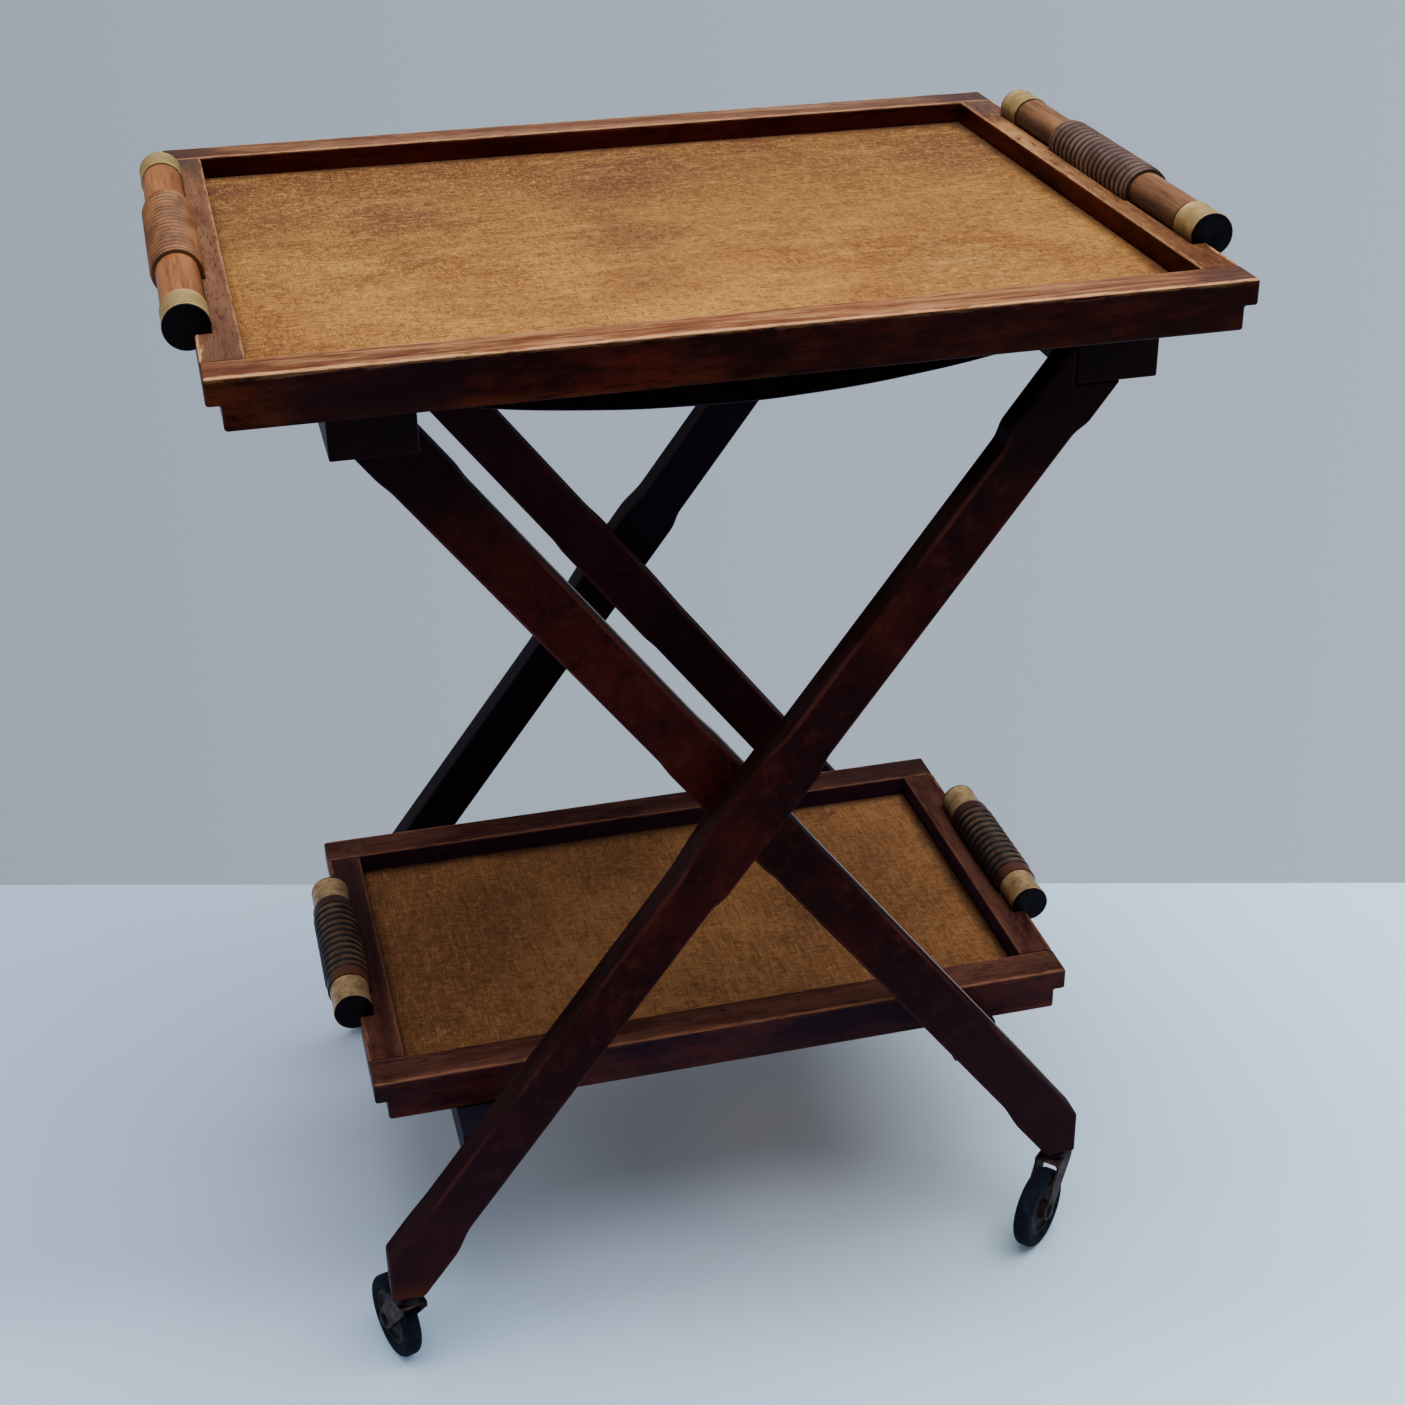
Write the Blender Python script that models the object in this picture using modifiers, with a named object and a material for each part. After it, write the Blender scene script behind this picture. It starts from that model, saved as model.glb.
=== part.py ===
"""Folding dessert table: two lift-off trays with turned handles on a crossed-leg frame with casters.

X runs along the trays, Y from the front to the back and Z up. The floor is z = 0, and the origin lies
under the middle of the table. The outer frame holds the legs that rise to the right, the inner frame
those that rise to the left, and both turn on a bolt where the legs cross.
"""

import math
from collections import namedtuple

import bmesh
import bpy
from mathutils import Matrix, Vector

# Clearances
TOUCH_GAP = 0.0003
RUN_GAP = 0.0003
CUT_OVERRUN = 0.004

# Trays
UPPER_LENGTH = 0.600
UPPER_DEPTH = 0.470
UPPER_TOP_HEIGHT = 0.740
LOWER_LENGTH = 0.490
LOWER_TOP_HEIGHT = 0.214
TRAY_SIDE_CLEARANCE = 0.0047
RIM_HEIGHT = 0.016
BOARD_THICKNESS = 0.0145
LONG_RAIL_WIDTH = 0.0275
END_RAIL_WIDTH = 0.0247
END_NOTCH = 0.0082
MAT_THICKNESS = 0.002
RAIL_ROUND = 0.0014
BOARD_ROUND = 0.0008

# Handles
DOWEL_RADIUS = 0.0126
DOWEL_ROUND = 0.0010
CAP_RADIUS = 0.0134
CAP_LENGTH = 0.0014
FERRULE_WALL = 0.0007
FERRULE_ROUND = 0.0004
FERRULE_LENGTH = 0.0255
GRIP_COLLAR_RADIUS = 0.0149
GRIP_GROOVE_RADIUS = 0.0140
GRIP_CREST_RADIUS = 0.0156
HANDLE_OUTSET = 0.0034
HANDLE_RISE = 0.0043
COVE_GAP = 0.0004
UPPER_HANDLE_LENGTH = 0.325
UPPER_GRIP_LENGTH = 0.130
UPPER_GRIP_COLLAR = 0.0030
UPPER_GRIP_RIBS = 17
LOWER_HANDLE_LENGTH = 0.157
LOWER_GRIP_LENGTH = 0.1025
LOWER_GRIP_COLLAR = 0.0095
LOWER_GRIP_RIBS = 11

# Legs
PIVOT_HEIGHT = 0.4045
LEG_ANGLE = math.radians(52.8)
OUTER_LEG_WIDTH = 0.0325
INNER_LEG_WIDTH = 0.0350
LEG_THICKNESS = 0.0214
LEG_GAP = 0.0025
LEG_ROUND = 0.0018
OUTER_PAD_STEP = 0.0032
INNER_PAD_STEP = 0.0012
PAD_BLEND = 0.015
PIVOT_PAD_REACH = 0.065
PAD_FLAT_ABOVE_TOP_EDGE = 0.039
PAD_FLAT_BELOW_TOP_EDGE = 0.014
PAD_FLAT_LOW_EDGE = 0.048
TOP_PAD_LENGTH = 0.029
FOOT_PAD_LENGTH = 0.036
FOOT_BLEND = 0.028
FOOT_INNER_HALF = 0.0205
FOOT_OUTER_HALF = 0.0172
FOOT_TRIM = 0.0035

# Battens
BATTEN_THICKNESS = 0.0336
BATTEN_ROUND = 0.0020
OUTER_BATTEN_WIDTH = 0.0513
OUTER_BATTEN_LAP = 0.0043
INNER_BATTEN_WIDTH = 0.0500
INNER_BATTEN_LAP = 0.0180
LOWER_BATTEN_WIDTH = 0.0300
LOWER_BATTEN_THICKNESS = 0.0300
LOWER_BATTEN_LAP = 0.0125

# Pivot bolts
BOLT_RADIUS = 0.0040
BOLT_BITE = 0.0150
BOLT_HEAD_RADIUS = 0.0058
BOLT_HEAD_THICKNESS = 0.0020
BOLT_HEAD_ROUND = 0.0007
SPACER_RADIUS = 0.0110

# Straps that stop the frame opening
STRAP_WIDTH = 0.040
STRAP_THICKNESS = 0.0016
STRAP_SAG = 0.0200
STRAP_TAB = 0.0180
STRAP_TAB_DROP = 0.0040
STRAP_INSET = 0.0020

# Casters
WHEEL_RADIUS = 0.0295
TYRE_WIDTH = 0.0130
TYRE_SHOULDER = 0.0040
RIM_RADIUS = 0.0195
HUB_BOSS_RADIUS = 0.0070
HUB_BOSS_WIDTH = 0.0150
HUB_WEB_WIDTH = 0.0070
HUB_RIM_WIDTH = 0.0102
HUB_RIM_LIP = 0.0025
CASTER_TRAIL = 0.0240
AXLE_RADIUS = 0.0030
AXLE_HEAD_RADIUS = 0.0052
AXLE_HEAD_THICKNESS = 0.0016
FORK_WALL = 0.0017
FORK_SIDE_CLEARANCE = 0.0014
FORK_TOP_CLEARANCE = 0.0030
FORK_BACK_REACH = 0.0100
FORK_FRONT_REACH = 0.0130
FORK_EYE_RADIUS = 0.0068
STEM_RADIUS = 0.0045
STEM_LENGTH = 0.0280
STEM_NECK_RADIUS = 0.0040
STEM_RIVET_RADIUS = 0.0065
STEM_RIVET_THICKNESS = 0.0016
CUP_RADIUS = 0.0100
CUP_SHOULDER_RADIUS = 0.0085
CUP_HEIGHT = 0.0062
FRONT_LEFT_HEADING = math.radians(107.6)
FRONT_RIGHT_HEADING = math.radians(222.3)
REAR_LEFT_HEADING = math.radians(34.0)
REAR_RIGHT_HEADING = math.radians(139.0)

# Facets of round pieces
HANDLE_SIDES = 16
COVE_SIDES = 32
WHEEL_SIDES = 22
HUB_SIDES = 16
PIN_SIDES = 12
BLEND_STEPS = 4
EYE_STEPS = 8
STRAP_STEPS = 12

# Colours, roughness and metal share
FINISHES = {
    "tray_wood": ((0.190, 0.072, 0.034), 0.42, 0.0),
    "frame_wood": ((0.052, 0.016, 0.012), 0.38, 0.0),
    "straw": ((0.470, 0.290, 0.100), 0.85, 0.0),
    "board_wood": ((0.110, 0.045, 0.025), 0.60, 0.0),
    "handle_wood": ((0.480, 0.250, 0.095), 0.45, 0.0),
    "grip_wood": ((0.230, 0.110, 0.060), 0.50, 0.0),
    "brass": ((0.620, 0.540, 0.330), 0.40, 0.85),
    "steel": ((0.300, 0.270, 0.240), 0.45, 0.80),
    "webbing": ((0.020, 0.014, 0.013), 0.90, 0.0),
    "rubber": ((0.025, 0.028, 0.030), 0.80, 0.0),
    "hub": ((0.130, 0.085, 0.065), 0.50, 0.0),
}

Tray = namedtuple("Tray", "name length depth top handle_length grip_length collar ribs")
Span = namedtuple("Span", "low high")


# Sizes that follow from the driving ones

def frame_front():
    """Distance from the middle to the outer legs' outer faces, which fit inside the upper rails."""
    return UPPER_DEPTH / 2 - LONG_RAIL_WIDTH


def inner_leg_front():
    return frame_front() - LEG_THICKNESS - LEG_GAP


def inner_leg_back():
    return inner_leg_front() - LEG_THICKNESS


UPPER = Tray("upper_tray", UPPER_LENGTH, UPPER_DEPTH, UPPER_TOP_HEIGHT,
             UPPER_HANDLE_LENGTH, UPPER_GRIP_LENGTH, UPPER_GRIP_COLLAR, UPPER_GRIP_RIBS)
LOWER = Tray("lower_tray", LOWER_LENGTH, 2 * (inner_leg_back() - TRAY_SIDE_CLEARANCE), LOWER_TOP_HEIGHT,
             LOWER_HANDLE_LENGTH, LOWER_GRIP_LENGTH, LOWER_GRIP_COLLAR, LOWER_GRIP_RIBS)


def tray_underside(tray):
    return tray.top - RIM_HEIGHT - BOARD_THICKNESS


def fork_top():
    return 2 * WHEEL_RADIUS + FORK_TOP_CLEARANCE + FORK_WALL


def foot_height():
    return fork_top() + RUN_GAP + CUP_HEIGHT + TOUCH_GAP


def top_cut_height():
    """The leg tops meet the underside of the top battens here."""
    return tray_underside(UPPER) - TOUCH_GAP - BATTEN_THICKNESS - TOUCH_GAP


def leg_centre_x(height):
    """Where the centre line of a leg that rises to the right is at a height."""
    return (height - PIVOT_HEIGHT) / math.tan(LEG_ANGLE)


def foot_outer_x():
    return -leg_centre_x(foot_height()) - FOOT_TRIM


def stem_x():
    """The caster's swivel axis stands in the middle of the foot's level face."""
    inner = -leg_centre_x(foot_height()) - FOOT_INNER_HALF / math.sin(LEG_ANGLE)
    return (foot_outer_x() + inner) / 2


def outer_top_batten():
    start = leg_centre_x(top_cut_height()) - OUTER_BATTEN_LAP
    return Span(start, start + OUTER_BATTEN_WIDTH)


def inner_top_batten():
    start = leg_centre_x(top_cut_height()) - INNER_BATTEN_LAP
    return Span(-start - INNER_BATTEN_WIDTH, -start)


def lower_batten_middle():
    return tray_underside(LOWER) - TOUCH_GAP - LOWER_BATTEN_THICKNESS / 2


def lower_batten_outer_x():
    return -leg_centre_x(lower_batten_middle()) + LOWER_BATTEN_LAP


def ferrule_radius():
    return DOWEL_RADIUS + TOUCH_GAP + FERRULE_WALL


# Scene helpers

def clear_scene():
    for item in list(bpy.data.objects):
        bpy.data.objects.remove(item, do_unlink=True)


def new_collection(name):
    group = bpy.data.collections.new(name)
    bpy.context.scene.collection.children.link(group)
    return group


def finish(item, kind):
    """Gives one piece its own material."""
    colour, roughness, metallic = FINISHES[kind]
    material = bpy.data.materials.new(item.name + "_" + kind)
    material.use_nodes = True
    shader = material.node_tree.nodes["Principled BSDF"]
    shader.inputs["Base Color"].default_value = (*colour, 1.0)
    shader.inputs["Roughness"].default_value = roughness
    shader.inputs["Metallic"].default_value = metallic
    if not item.data.materials:
        item.data.materials.append(None)
    item.material_slots[0].link = "OBJECT"
    item.material_slots[0].material = material


def place(name, mesh, kind, matrix, parent=None):
    """Adds a named piece; the matrix is in world space and the parent's place is taken off it."""
    item = bpy.data.objects.new(name, mesh)
    PARTS.objects.link(item)
    if parent is not None:
        item.parent = parent
        item.matrix_basis = parent_world(parent).inverted() @ matrix
    else:
        item.matrix_basis = matrix
    finish(item, kind)
    return item


def parent_world(item):
    """World matrix of an empty from its own and its parents' places."""
    matrix = item.matrix_basis.copy()
    while item.parent is not None:
        item = item.parent
        matrix = item.matrix_basis @ matrix
    return matrix


def joint_empty(name, position, parent=None):
    item = bpy.data.objects.new(name, None)
    item.empty_display_size = WHEEL_RADIUS
    PARTS.objects.link(item)
    item.parent = parent
    base = parent_world(parent).inverted() if parent is not None else Matrix()
    item.matrix_basis = base @ Matrix.Translation(position)
    return item


def at(x, y, z):
    return Matrix.Translation((x, y, z))


def turn(angle, axis):
    return Matrix.Rotation(angle, 4, axis)


def baked(item):
    """The mesh of an object with its modifiers applied; the object is removed."""
    bpy.context.view_layer.update()
    graph = bpy.context.evaluated_depsgraph_get()
    mesh = bpy.data.meshes.new_from_object(item.evaluated_get(graph))
    bpy.data.objects.remove(item, do_unlink=True)
    return mesh


def draft(name, mesh):
    """A working object that is baked before the model is done."""
    item = bpy.data.objects.new(name, mesh)
    DRAFTS.objects.link(item)
    return item


def add_bevel(item, width, segments=1):
    bevel = item.modifiers.new("edges", "BEVEL")
    bevel.width = width
    bevel.segments = segments
    bevel.limit_method = "ANGLE"
    bevel.angle_limit = math.radians(35)


def cut(item, cutter, operation="DIFFERENCE"):
    cutter.hide_render = True
    cutter.display_type = "WIRE"
    boolean = item.modifiers.new("cut", "BOOLEAN")
    boolean.operation = operation
    boolean.solver = "EXACT"
    boolean.object = cutter


def box_draft(name, size, centre=(0, 0, 0)):
    mesh = bpy.data.meshes.new(name)
    solid = bmesh.new()
    bmesh.ops.create_cube(solid, size=1)
    bmesh.ops.scale(solid, vec=size, verts=solid.verts)
    bmesh.ops.translate(solid, vec=centre, verts=solid.verts)
    solid.to_mesh(mesh)
    solid.free()
    return draft(name, mesh)


def rod_draft(name, radius, length, sides, matrix):
    """A round bar about its local Z axis, for cutting holes and coves."""
    mesh = bpy.data.meshes.new(name)
    solid = bmesh.new()
    bmesh.ops.create_cone(solid, cap_ends=True, segments=sides, radius1=radius, radius2=radius, depth=length)
    solid.to_mesh(mesh)
    solid.free()
    item = draft(name, mesh)
    item.matrix_basis = matrix
    return item


def drop_drafts():
    for item in list(DRAFTS.objects):
        bpy.data.objects.remove(item, do_unlink=True)


def turned_mesh(name, profile, sides, ring=False):
    """Turns (radius, height) points about Z. They run down the outer side, from top to bottom."""
    mesh = bpy.data.meshes.new(name)
    solid = bmesh.new()
    points = [solid.verts.new((radius, 0, height)) for radius, height in profile]
    for first, second in zip(points, points[1:]):
        solid.edges.new((first, second))
    if ring:
        solid.edges.new((points[-1], points[0]))
    solid.to_mesh(mesh)
    solid.free()
    item = draft(name, mesh)
    screw = item.modifiers.new("turn", "SCREW")
    screw.axis = "Z"
    screw.steps = sides
    screw.render_steps = sides
    screw.use_merge_vertices = True
    screw.merge_threshold = 0.00001
    result = baked(item)
    result.shade_smooth()
    result.set_sharp_from_angle(angle=math.radians(32))
    return result


def outline_mesh(name, points, thickness):
    """A flat outline in the XZ plane, thickened by half each way along Y."""
    curve = bpy.data.curves.new(name, "CURVE")
    curve.dimensions = "2D"
    curve.fill_mode = "BOTH"
    curve.extrude = thickness / 2
    spline = curve.splines.new("POLY")
    spline.points.add(len(points) - 1)
    for spot, (x, z) in zip(spline.points, points):
        spot.co = (x, z, 0, 1)
    spline.use_cyclic_u = True
    item = bpy.data.objects.new(name, curve)
    DRAFTS.objects.link(item)
    mesh = baked(item)
    mesh.transform(turn(math.radians(90), "X"))
    solid = bmesh.new()
    solid.from_mesh(mesh)
    bmesh.ops.remove_doubles(solid, verts=solid.verts, dist=0.00001)
    bmesh.ops.dissolve_limit(solid, angle_limit=math.radians(0.5), verts=solid.verts, edges=solid.edges)
    bmesh.ops.recalc_face_normals(solid, faces=solid.faces)
    solid.to_mesh(mesh)
    solid.free()
    return mesh


def trim(mesh, point, normal):
    """Cuts off what lies past a plane, on the side its normal points to, and closes the cut."""
    solid = bmesh.new()
    solid.from_mesh(mesh)
    everything = solid.verts[:] + solid.edges[:] + solid.faces[:]
    bmesh.ops.bisect_plane(solid, geom=everything, dist=0.000001, plane_co=point, plane_no=normal,
                           clear_outer=True)
    open_edges = [edge for edge in solid.edges if edge.is_boundary]
    bmesh.ops.holes_fill(solid, edges=open_edges)
    bmesh.ops.recalc_face_normals(solid, faces=solid.faces)
    solid.to_mesh(mesh)
    solid.free()


# Legs

def blend(start, end, share):
    return start + (end - start) * (1 - math.cos(math.pi * share)) / 2


def leg_edge(narrow, pad, foot, top_end, foot_end, flat_below, flat_above):
    """(distance along, half width) points of one edge of a leg, from the foot up.

    flat_below and flat_above say how far the full width goes below and above the pivot.
    """
    foot_pad = foot_end + FOOT_PAD_LENGTH
    top_pad = top_end - TOP_PAD_LENGTH
    changes = [
        (foot_pad, foot_pad + FOOT_BLEND, foot, narrow),
        (-PIVOT_PAD_REACH, -flat_below, narrow, pad),
        (flat_above, PIVOT_PAD_REACH, pad, narrow),
        (top_pad - PAD_BLEND, top_pad, narrow, pad),
    ]
    edge = [(foot_end - 2 * foot, foot)]
    for start, end, before, after in changes:
        for step in range(BLEND_STEPS + 1):
            share = step / BLEND_STEPS
            edge.append((start + (end - start) * share, blend(before, after, share)))
    return edge


def leg_outline(width, pad_step, shoulder):
    """Outline of a leg that rises to the right, about the pivot, longer than the leg at the foot.

    It is wider where it meets the top batten, the other leg and the caster. The top is notched for the
    batten: it has a level seat, and an upright face at x = shoulder that the batten stands against.
    """
    along = Vector((math.cos(LEG_ANGLE), math.sin(LEG_ANGLE)))
    across = Vector((-math.sin(LEG_ANGLE), math.cos(LEG_ANGLE)))
    rise = top_cut_height() - PIVOT_HEIGHT
    foot_end = (foot_height() - PIVOT_HEIGHT + FOOT_INNER_HALF * math.cos(LEG_ANGLE)) / math.sin(LEG_ANGLE)
    narrow = width / 2
    pad = narrow + pad_step
    lean = pad * math.cos(LEG_ANGLE)
    upper = leg_edge(narrow, pad, FOOT_OUTER_HALF, (rise - lean) / math.sin(LEG_ANGLE), foot_end,
                     PAD_FLAT_BELOW_TOP_EDGE, PAD_FLAT_ABOVE_TOP_EDGE)
    lower = leg_edge(narrow, pad, FOOT_INNER_HALF, (rise + lean) / math.sin(LEG_ANGLE), foot_end,
                     PAD_FLAT_LOW_EDGE, PAD_FLAT_LOW_EDGE)
    upper.append(((rise - lean) / math.sin(LEG_ANGLE), pad))
    lower.append(((rise + lean) / math.sin(LEG_ANGLE), pad))
    seat = []
    if shoulder > rise / math.tan(LEG_ANGLE) - pad / math.sin(LEG_ANGLE) + LEG_ROUND:
        seat = [Vector((shoulder, rise))]
        upper[-1] = ((shoulder + pad * math.sin(LEG_ANGLE)) / math.cos(LEG_ANGLE), pad)
    points = [along * distance - across * half for distance, half in lower] + seat
    points += [along * distance + across * half for distance, half in reversed(upper)]
    return [(point.x, point.y) for point in points]


def leg_mesh(side, width, pad_step, shoulder, bolt_depth):
    """A leg about the pivot: side 1 rises to the right, -1 to the left. The bolt enters from behind.

    bolt_depth is how deep the bolt hole goes from the leg's back face, None for right through.
    """
    mesh = outline_mesh("leg", leg_outline(width, pad_step, shoulder), LEG_THICKNESS)
    trim(mesh, (0, 0, foot_height() - PIVOT_HEIGHT), (0, 0, -1))
    trim(mesh, (-foot_outer_x(), 0, 0), (-1, 0, 0))
    if side < 0:
        mesh.transform(Matrix.Scale(-1, 4, (1, 0, 0)))
        mesh.flip_normals()
    item = draft("leg", mesh)
    add_bevel(item, LEG_ROUND)
    depth = bolt_depth if bolt_depth is not None else LEG_THICKNESS + CUT_OVERRUN
    reach = depth + CUT_OVERRUN
    middle = LEG_THICKNESS / 2 + CUT_OVERRUN - reach / 2
    cut(item, rod_draft("bolt_hole", BOLT_RADIUS + RUN_GAP, reach, HANDLE_SIDES,
                        at(0, middle, 0) @ turn(math.radians(90), "X")))
    stem_reach = STEM_LENGTH + TOUCH_GAP + CUT_OVERRUN
    stem_middle = foot_height() - CUT_OVERRUN + stem_reach / 2 - PIVOT_HEIGHT
    cut(item, rod_draft("stem_hole", STEM_RADIUS + TOUCH_GAP, stem_reach, PIN_SIDES,
                        at(-side * stem_x(), 0, stem_middle)))
    result = baked(item)
    drop_drafts()
    return result


def build_legs(outer, inner):
    """Front legs have their bolt side behind them; rear legs are the same ones turned to face back."""
    bolt_depth = BOLT_BITE + TOUCH_GAP
    outer_y = frame_front() - LEG_THICKNESS / 2
    inner_y = inner_leg_front() - LEG_THICKNESS / 2
    outer_shoulder = outer_top_batten().low - TOUCH_GAP
    inner_shoulder = -inner_top_batten().high - TOUCH_GAP
    about = turn(math.pi, "Z")
    rise_right_blind = leg_mesh(1, OUTER_LEG_WIDTH, OUTER_PAD_STEP, outer_shoulder, bolt_depth)
    rise_left_blind = leg_mesh(-1, OUTER_LEG_WIDTH, OUTER_PAD_STEP, outer_shoulder, bolt_depth)
    rise_right_through = leg_mesh(1, INNER_LEG_WIDTH, INNER_PAD_STEP, inner_shoulder, None)
    rise_left_through = leg_mesh(-1, INNER_LEG_WIDTH, INNER_PAD_STEP, inner_shoulder, None)
    place("outer_leg_front", rise_right_blind, "frame_wood", at(0, -outer_y, PIVOT_HEIGHT), outer)
    place("outer_leg_rear", rise_left_blind, "frame_wood", at(0, outer_y, PIVOT_HEIGHT) @ about, outer)
    place("inner_leg_front", rise_left_through, "frame_wood", at(0, -inner_y, PIVOT_HEIGHT), inner)
    place("inner_leg_rear", rise_right_through, "frame_wood", at(0, inner_y, PIVOT_HEIGHT) @ about, inner)


def build_bolts(outer):
    """A bolt is screwed into the outer leg from inside; its spacer keeps the two legs apart."""
    spacer = (LEG_GAP - 2 * TOUCH_GAP) / 2
    tip = LEG_GAP / 2 + BOLT_BITE
    head = LEG_GAP / 2 + LEG_THICKNESS + RUN_GAP
    end = head + BOLT_HEAD_THICKNESS
    profile = [
        (0, tip), (BOLT_RADIUS, tip), (BOLT_RADIUS, spacer), (SPACER_RADIUS, spacer),
        (SPACER_RADIUS, -spacer), (BOLT_RADIUS, -spacer), (BOLT_RADIUS, -head),
        (BOLT_HEAD_RADIUS, -head), (BOLT_HEAD_RADIUS, -end + BOLT_HEAD_ROUND),
        (BOLT_HEAD_RADIUS - BOLT_HEAD_ROUND, -end), (0, -end),
    ]
    mesh = turned_mesh("pivot_bolt", profile, HANDLE_SIDES)
    middle = frame_front() - LEG_THICKNESS - LEG_GAP / 2
    place("pivot_bolt_front", mesh, "steel", at(0, -middle, PIVOT_HEIGHT) @ turn(math.radians(90), "X"), outer)
    place("pivot_bolt_rear", mesh, "steel", at(0, middle, PIVOT_HEIGHT) @ turn(math.radians(-90), "X"), outer)


# Battens

def batten_mesh(name, width, length, thickness):
    item = box_draft(name, (width, length, thickness))
    add_bevel(item, BATTEN_ROUND)
    return baked(item)


def build_battens(outer, inner):
    top_z = top_cut_height() + TOUCH_GAP + BATTEN_THICKNESS / 2
    low_z = lower_batten_middle()
    outer_span = outer_top_batten()
    inner_span = inner_top_batten()
    low_x = lower_batten_outer_x() - LOWER_BATTEN_WIDTH / 2
    outer_low_length = 2 * (frame_front() - LEG_THICKNESS - TOUCH_GAP)
    inner_low_length = 2 * (inner_leg_back() - TOUCH_GAP)
    outer_top = batten_mesh("outer_top", OUTER_BATTEN_WIDTH, 2 * frame_front(), BATTEN_THICKNESS)
    inner_top = batten_mesh("inner_top", INNER_BATTEN_WIDTH, 2 * frame_front(), BATTEN_THICKNESS)
    outer_low = batten_mesh("outer_low", LOWER_BATTEN_WIDTH, outer_low_length, LOWER_BATTEN_THICKNESS)
    inner_low = batten_mesh("inner_low", LOWER_BATTEN_WIDTH, inner_low_length, LOWER_BATTEN_THICKNESS)
    place("outer_top_batten", outer_top, "frame_wood", at(sum(outer_span) / 2, 0, top_z), outer)
    place("inner_top_batten", inner_top, "frame_wood", at(sum(inner_span) / 2, 0, top_z), inner)
    place("outer_lower_batten", outer_low, "frame_wood", at(-low_x, 0, low_z), outer)
    place("inner_lower_batten", inner_low, "frame_wood", at(low_x, 0, low_z), inner)


# Straps

def strap_line(offset):
    """Points of the strap in the XZ plane, from its left tab to its right one."""
    left = inner_top_batten().high + TOUCH_GAP + offset
    right = outer_top_batten().low - TOUCH_GAP - offset
    top = top_cut_height() + TOUCH_GAP + BATTEN_THICKNESS - STRAP_TAB_DROP
    bend = top - STRAP_TAB
    points = [(left, top)]
    for step in range(STRAP_STEPS + 1):
        share = step / STRAP_STEPS
        sag = STRAP_SAG * (1 - (2 * share - 1) ** 2)
        points.append((left + (right - left) * share, bend - sag + offset))
    points.append((right, top))
    return points


def build_straps(outer):
    outside = strap_line(0)
    inside = strap_line(STRAP_THICKNESS)
    mesh = outline_mesh("strap", outside + inside[::-1], STRAP_WIDTH)
    y = inner_leg_back() - STRAP_INSET - STRAP_WIDTH / 2
    place("strap_front", mesh, "webbing", at(0, -y, 0), outer)
    place("strap_rear", mesh, "webbing", at(0, y, 0), outer)


# Trays

def long_rail_mesh(tray):
    """Full height along the side, with the lower half stepped in at both ends."""
    top = tray.top
    step = top - RIM_HEIGHT
    low = tray_underside(tray)
    half = tray.length / 2
    inset = half - END_NOTCH
    corner = [(half, top), (half, step), (inset, step), (inset, low)]
    points = corner + [(-x, z) for x, z in reversed(corner)]
    item = draft("long_rail", outline_mesh("long_rail", points, LONG_RAIL_WIDTH))
    add_bevel(item, RAIL_ROUND)
    return baked(item)


def end_rail_mesh(tray):
    """The right end rail, with a cove for the handle that is deeper behind the grip."""
    inner_depth = tray.depth - 2 * LONG_RAIL_WIDTH - 2 * TOUCH_GAP
    height = RIM_HEIGHT - TOUCH_GAP
    centre = (tray.length / 2 - END_RAIL_WIDTH / 2, 0, tray.top - height / 2)
    item = box_draft("end_rail", (END_RAIL_WIDTH, inner_depth, height), centre)
    add_bevel(item, RAIL_ROUND)
    axis = handle_axis(tray) @ turn(math.radians(90), "X")
    cove = rod_draft("cove", max(ferrule_radius(), CAP_RADIUS) + COVE_GAP, tray.handle_length + 2 * COVE_GAP,
                     COVE_SIDES, axis)
    deep = rod_draft("deep_cove", GRIP_CREST_RADIUS + COVE_GAP, tray.grip_length + 2 * COVE_GAP,
                     COVE_SIDES, axis)
    cut(item, cove)
    cut(item, deep)
    result = baked(item)
    drop_drafts()
    return result


def handle_axis(tray):
    return at(tray.length / 2 + HANDLE_OUTSET, 0, tray.top + HANDLE_RISE)


def slab_mesh(name, size, round_size):
    item = box_draft(name, size)
    add_bevel(item, round_size)
    return baked(item)


def build_tray(tray, parent):
    rail_y = tray.depth / 2 - LONG_RAIL_WIDTH / 2
    inner_depth = tray.depth - 2 * LONG_RAIL_WIDTH - 2 * TOUCH_GAP
    long_rail = long_rail_mesh(tray)
    end_rail = end_rail_mesh(tray)
    place(tray.name + "_rail_front", long_rail, "tray_wood", at(0, -rail_y, 0), parent)
    place(tray.name + "_rail_rear", long_rail, "tray_wood", at(0, rail_y, 0), parent)
    place(tray.name + "_rail_right", end_rail, "tray_wood", Matrix(), parent)
    place(tray.name + "_rail_left", end_rail, "tray_wood", turn(math.pi, "Z"), parent)
    board = slab_mesh("board", (tray.length - 2 * END_NOTCH, inner_depth, BOARD_THICKNESS - TOUCH_GAP),
                      BOARD_ROUND)
    board_z = tray_underside(tray) + (BOARD_THICKNESS - TOUCH_GAP) / 2
    place(tray.name + "_base_board", board, "board_wood", at(0, 0, board_z), parent)
    mat = slab_mesh("mat", (tray.length - 2 * END_RAIL_WIDTH - 2 * TOUCH_GAP, inner_depth,
                            MAT_THICKNESS - TOUCH_GAP), BOARD_ROUND / 2)
    mat_z = tray.top - RIM_HEIGHT + (MAT_THICKNESS + TOUCH_GAP) / 2
    place(tray.name + "_woven_mat", mat, "straw", at(0, 0, mat_z), parent)
    build_handles(tray, parent)


# Handles

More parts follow.
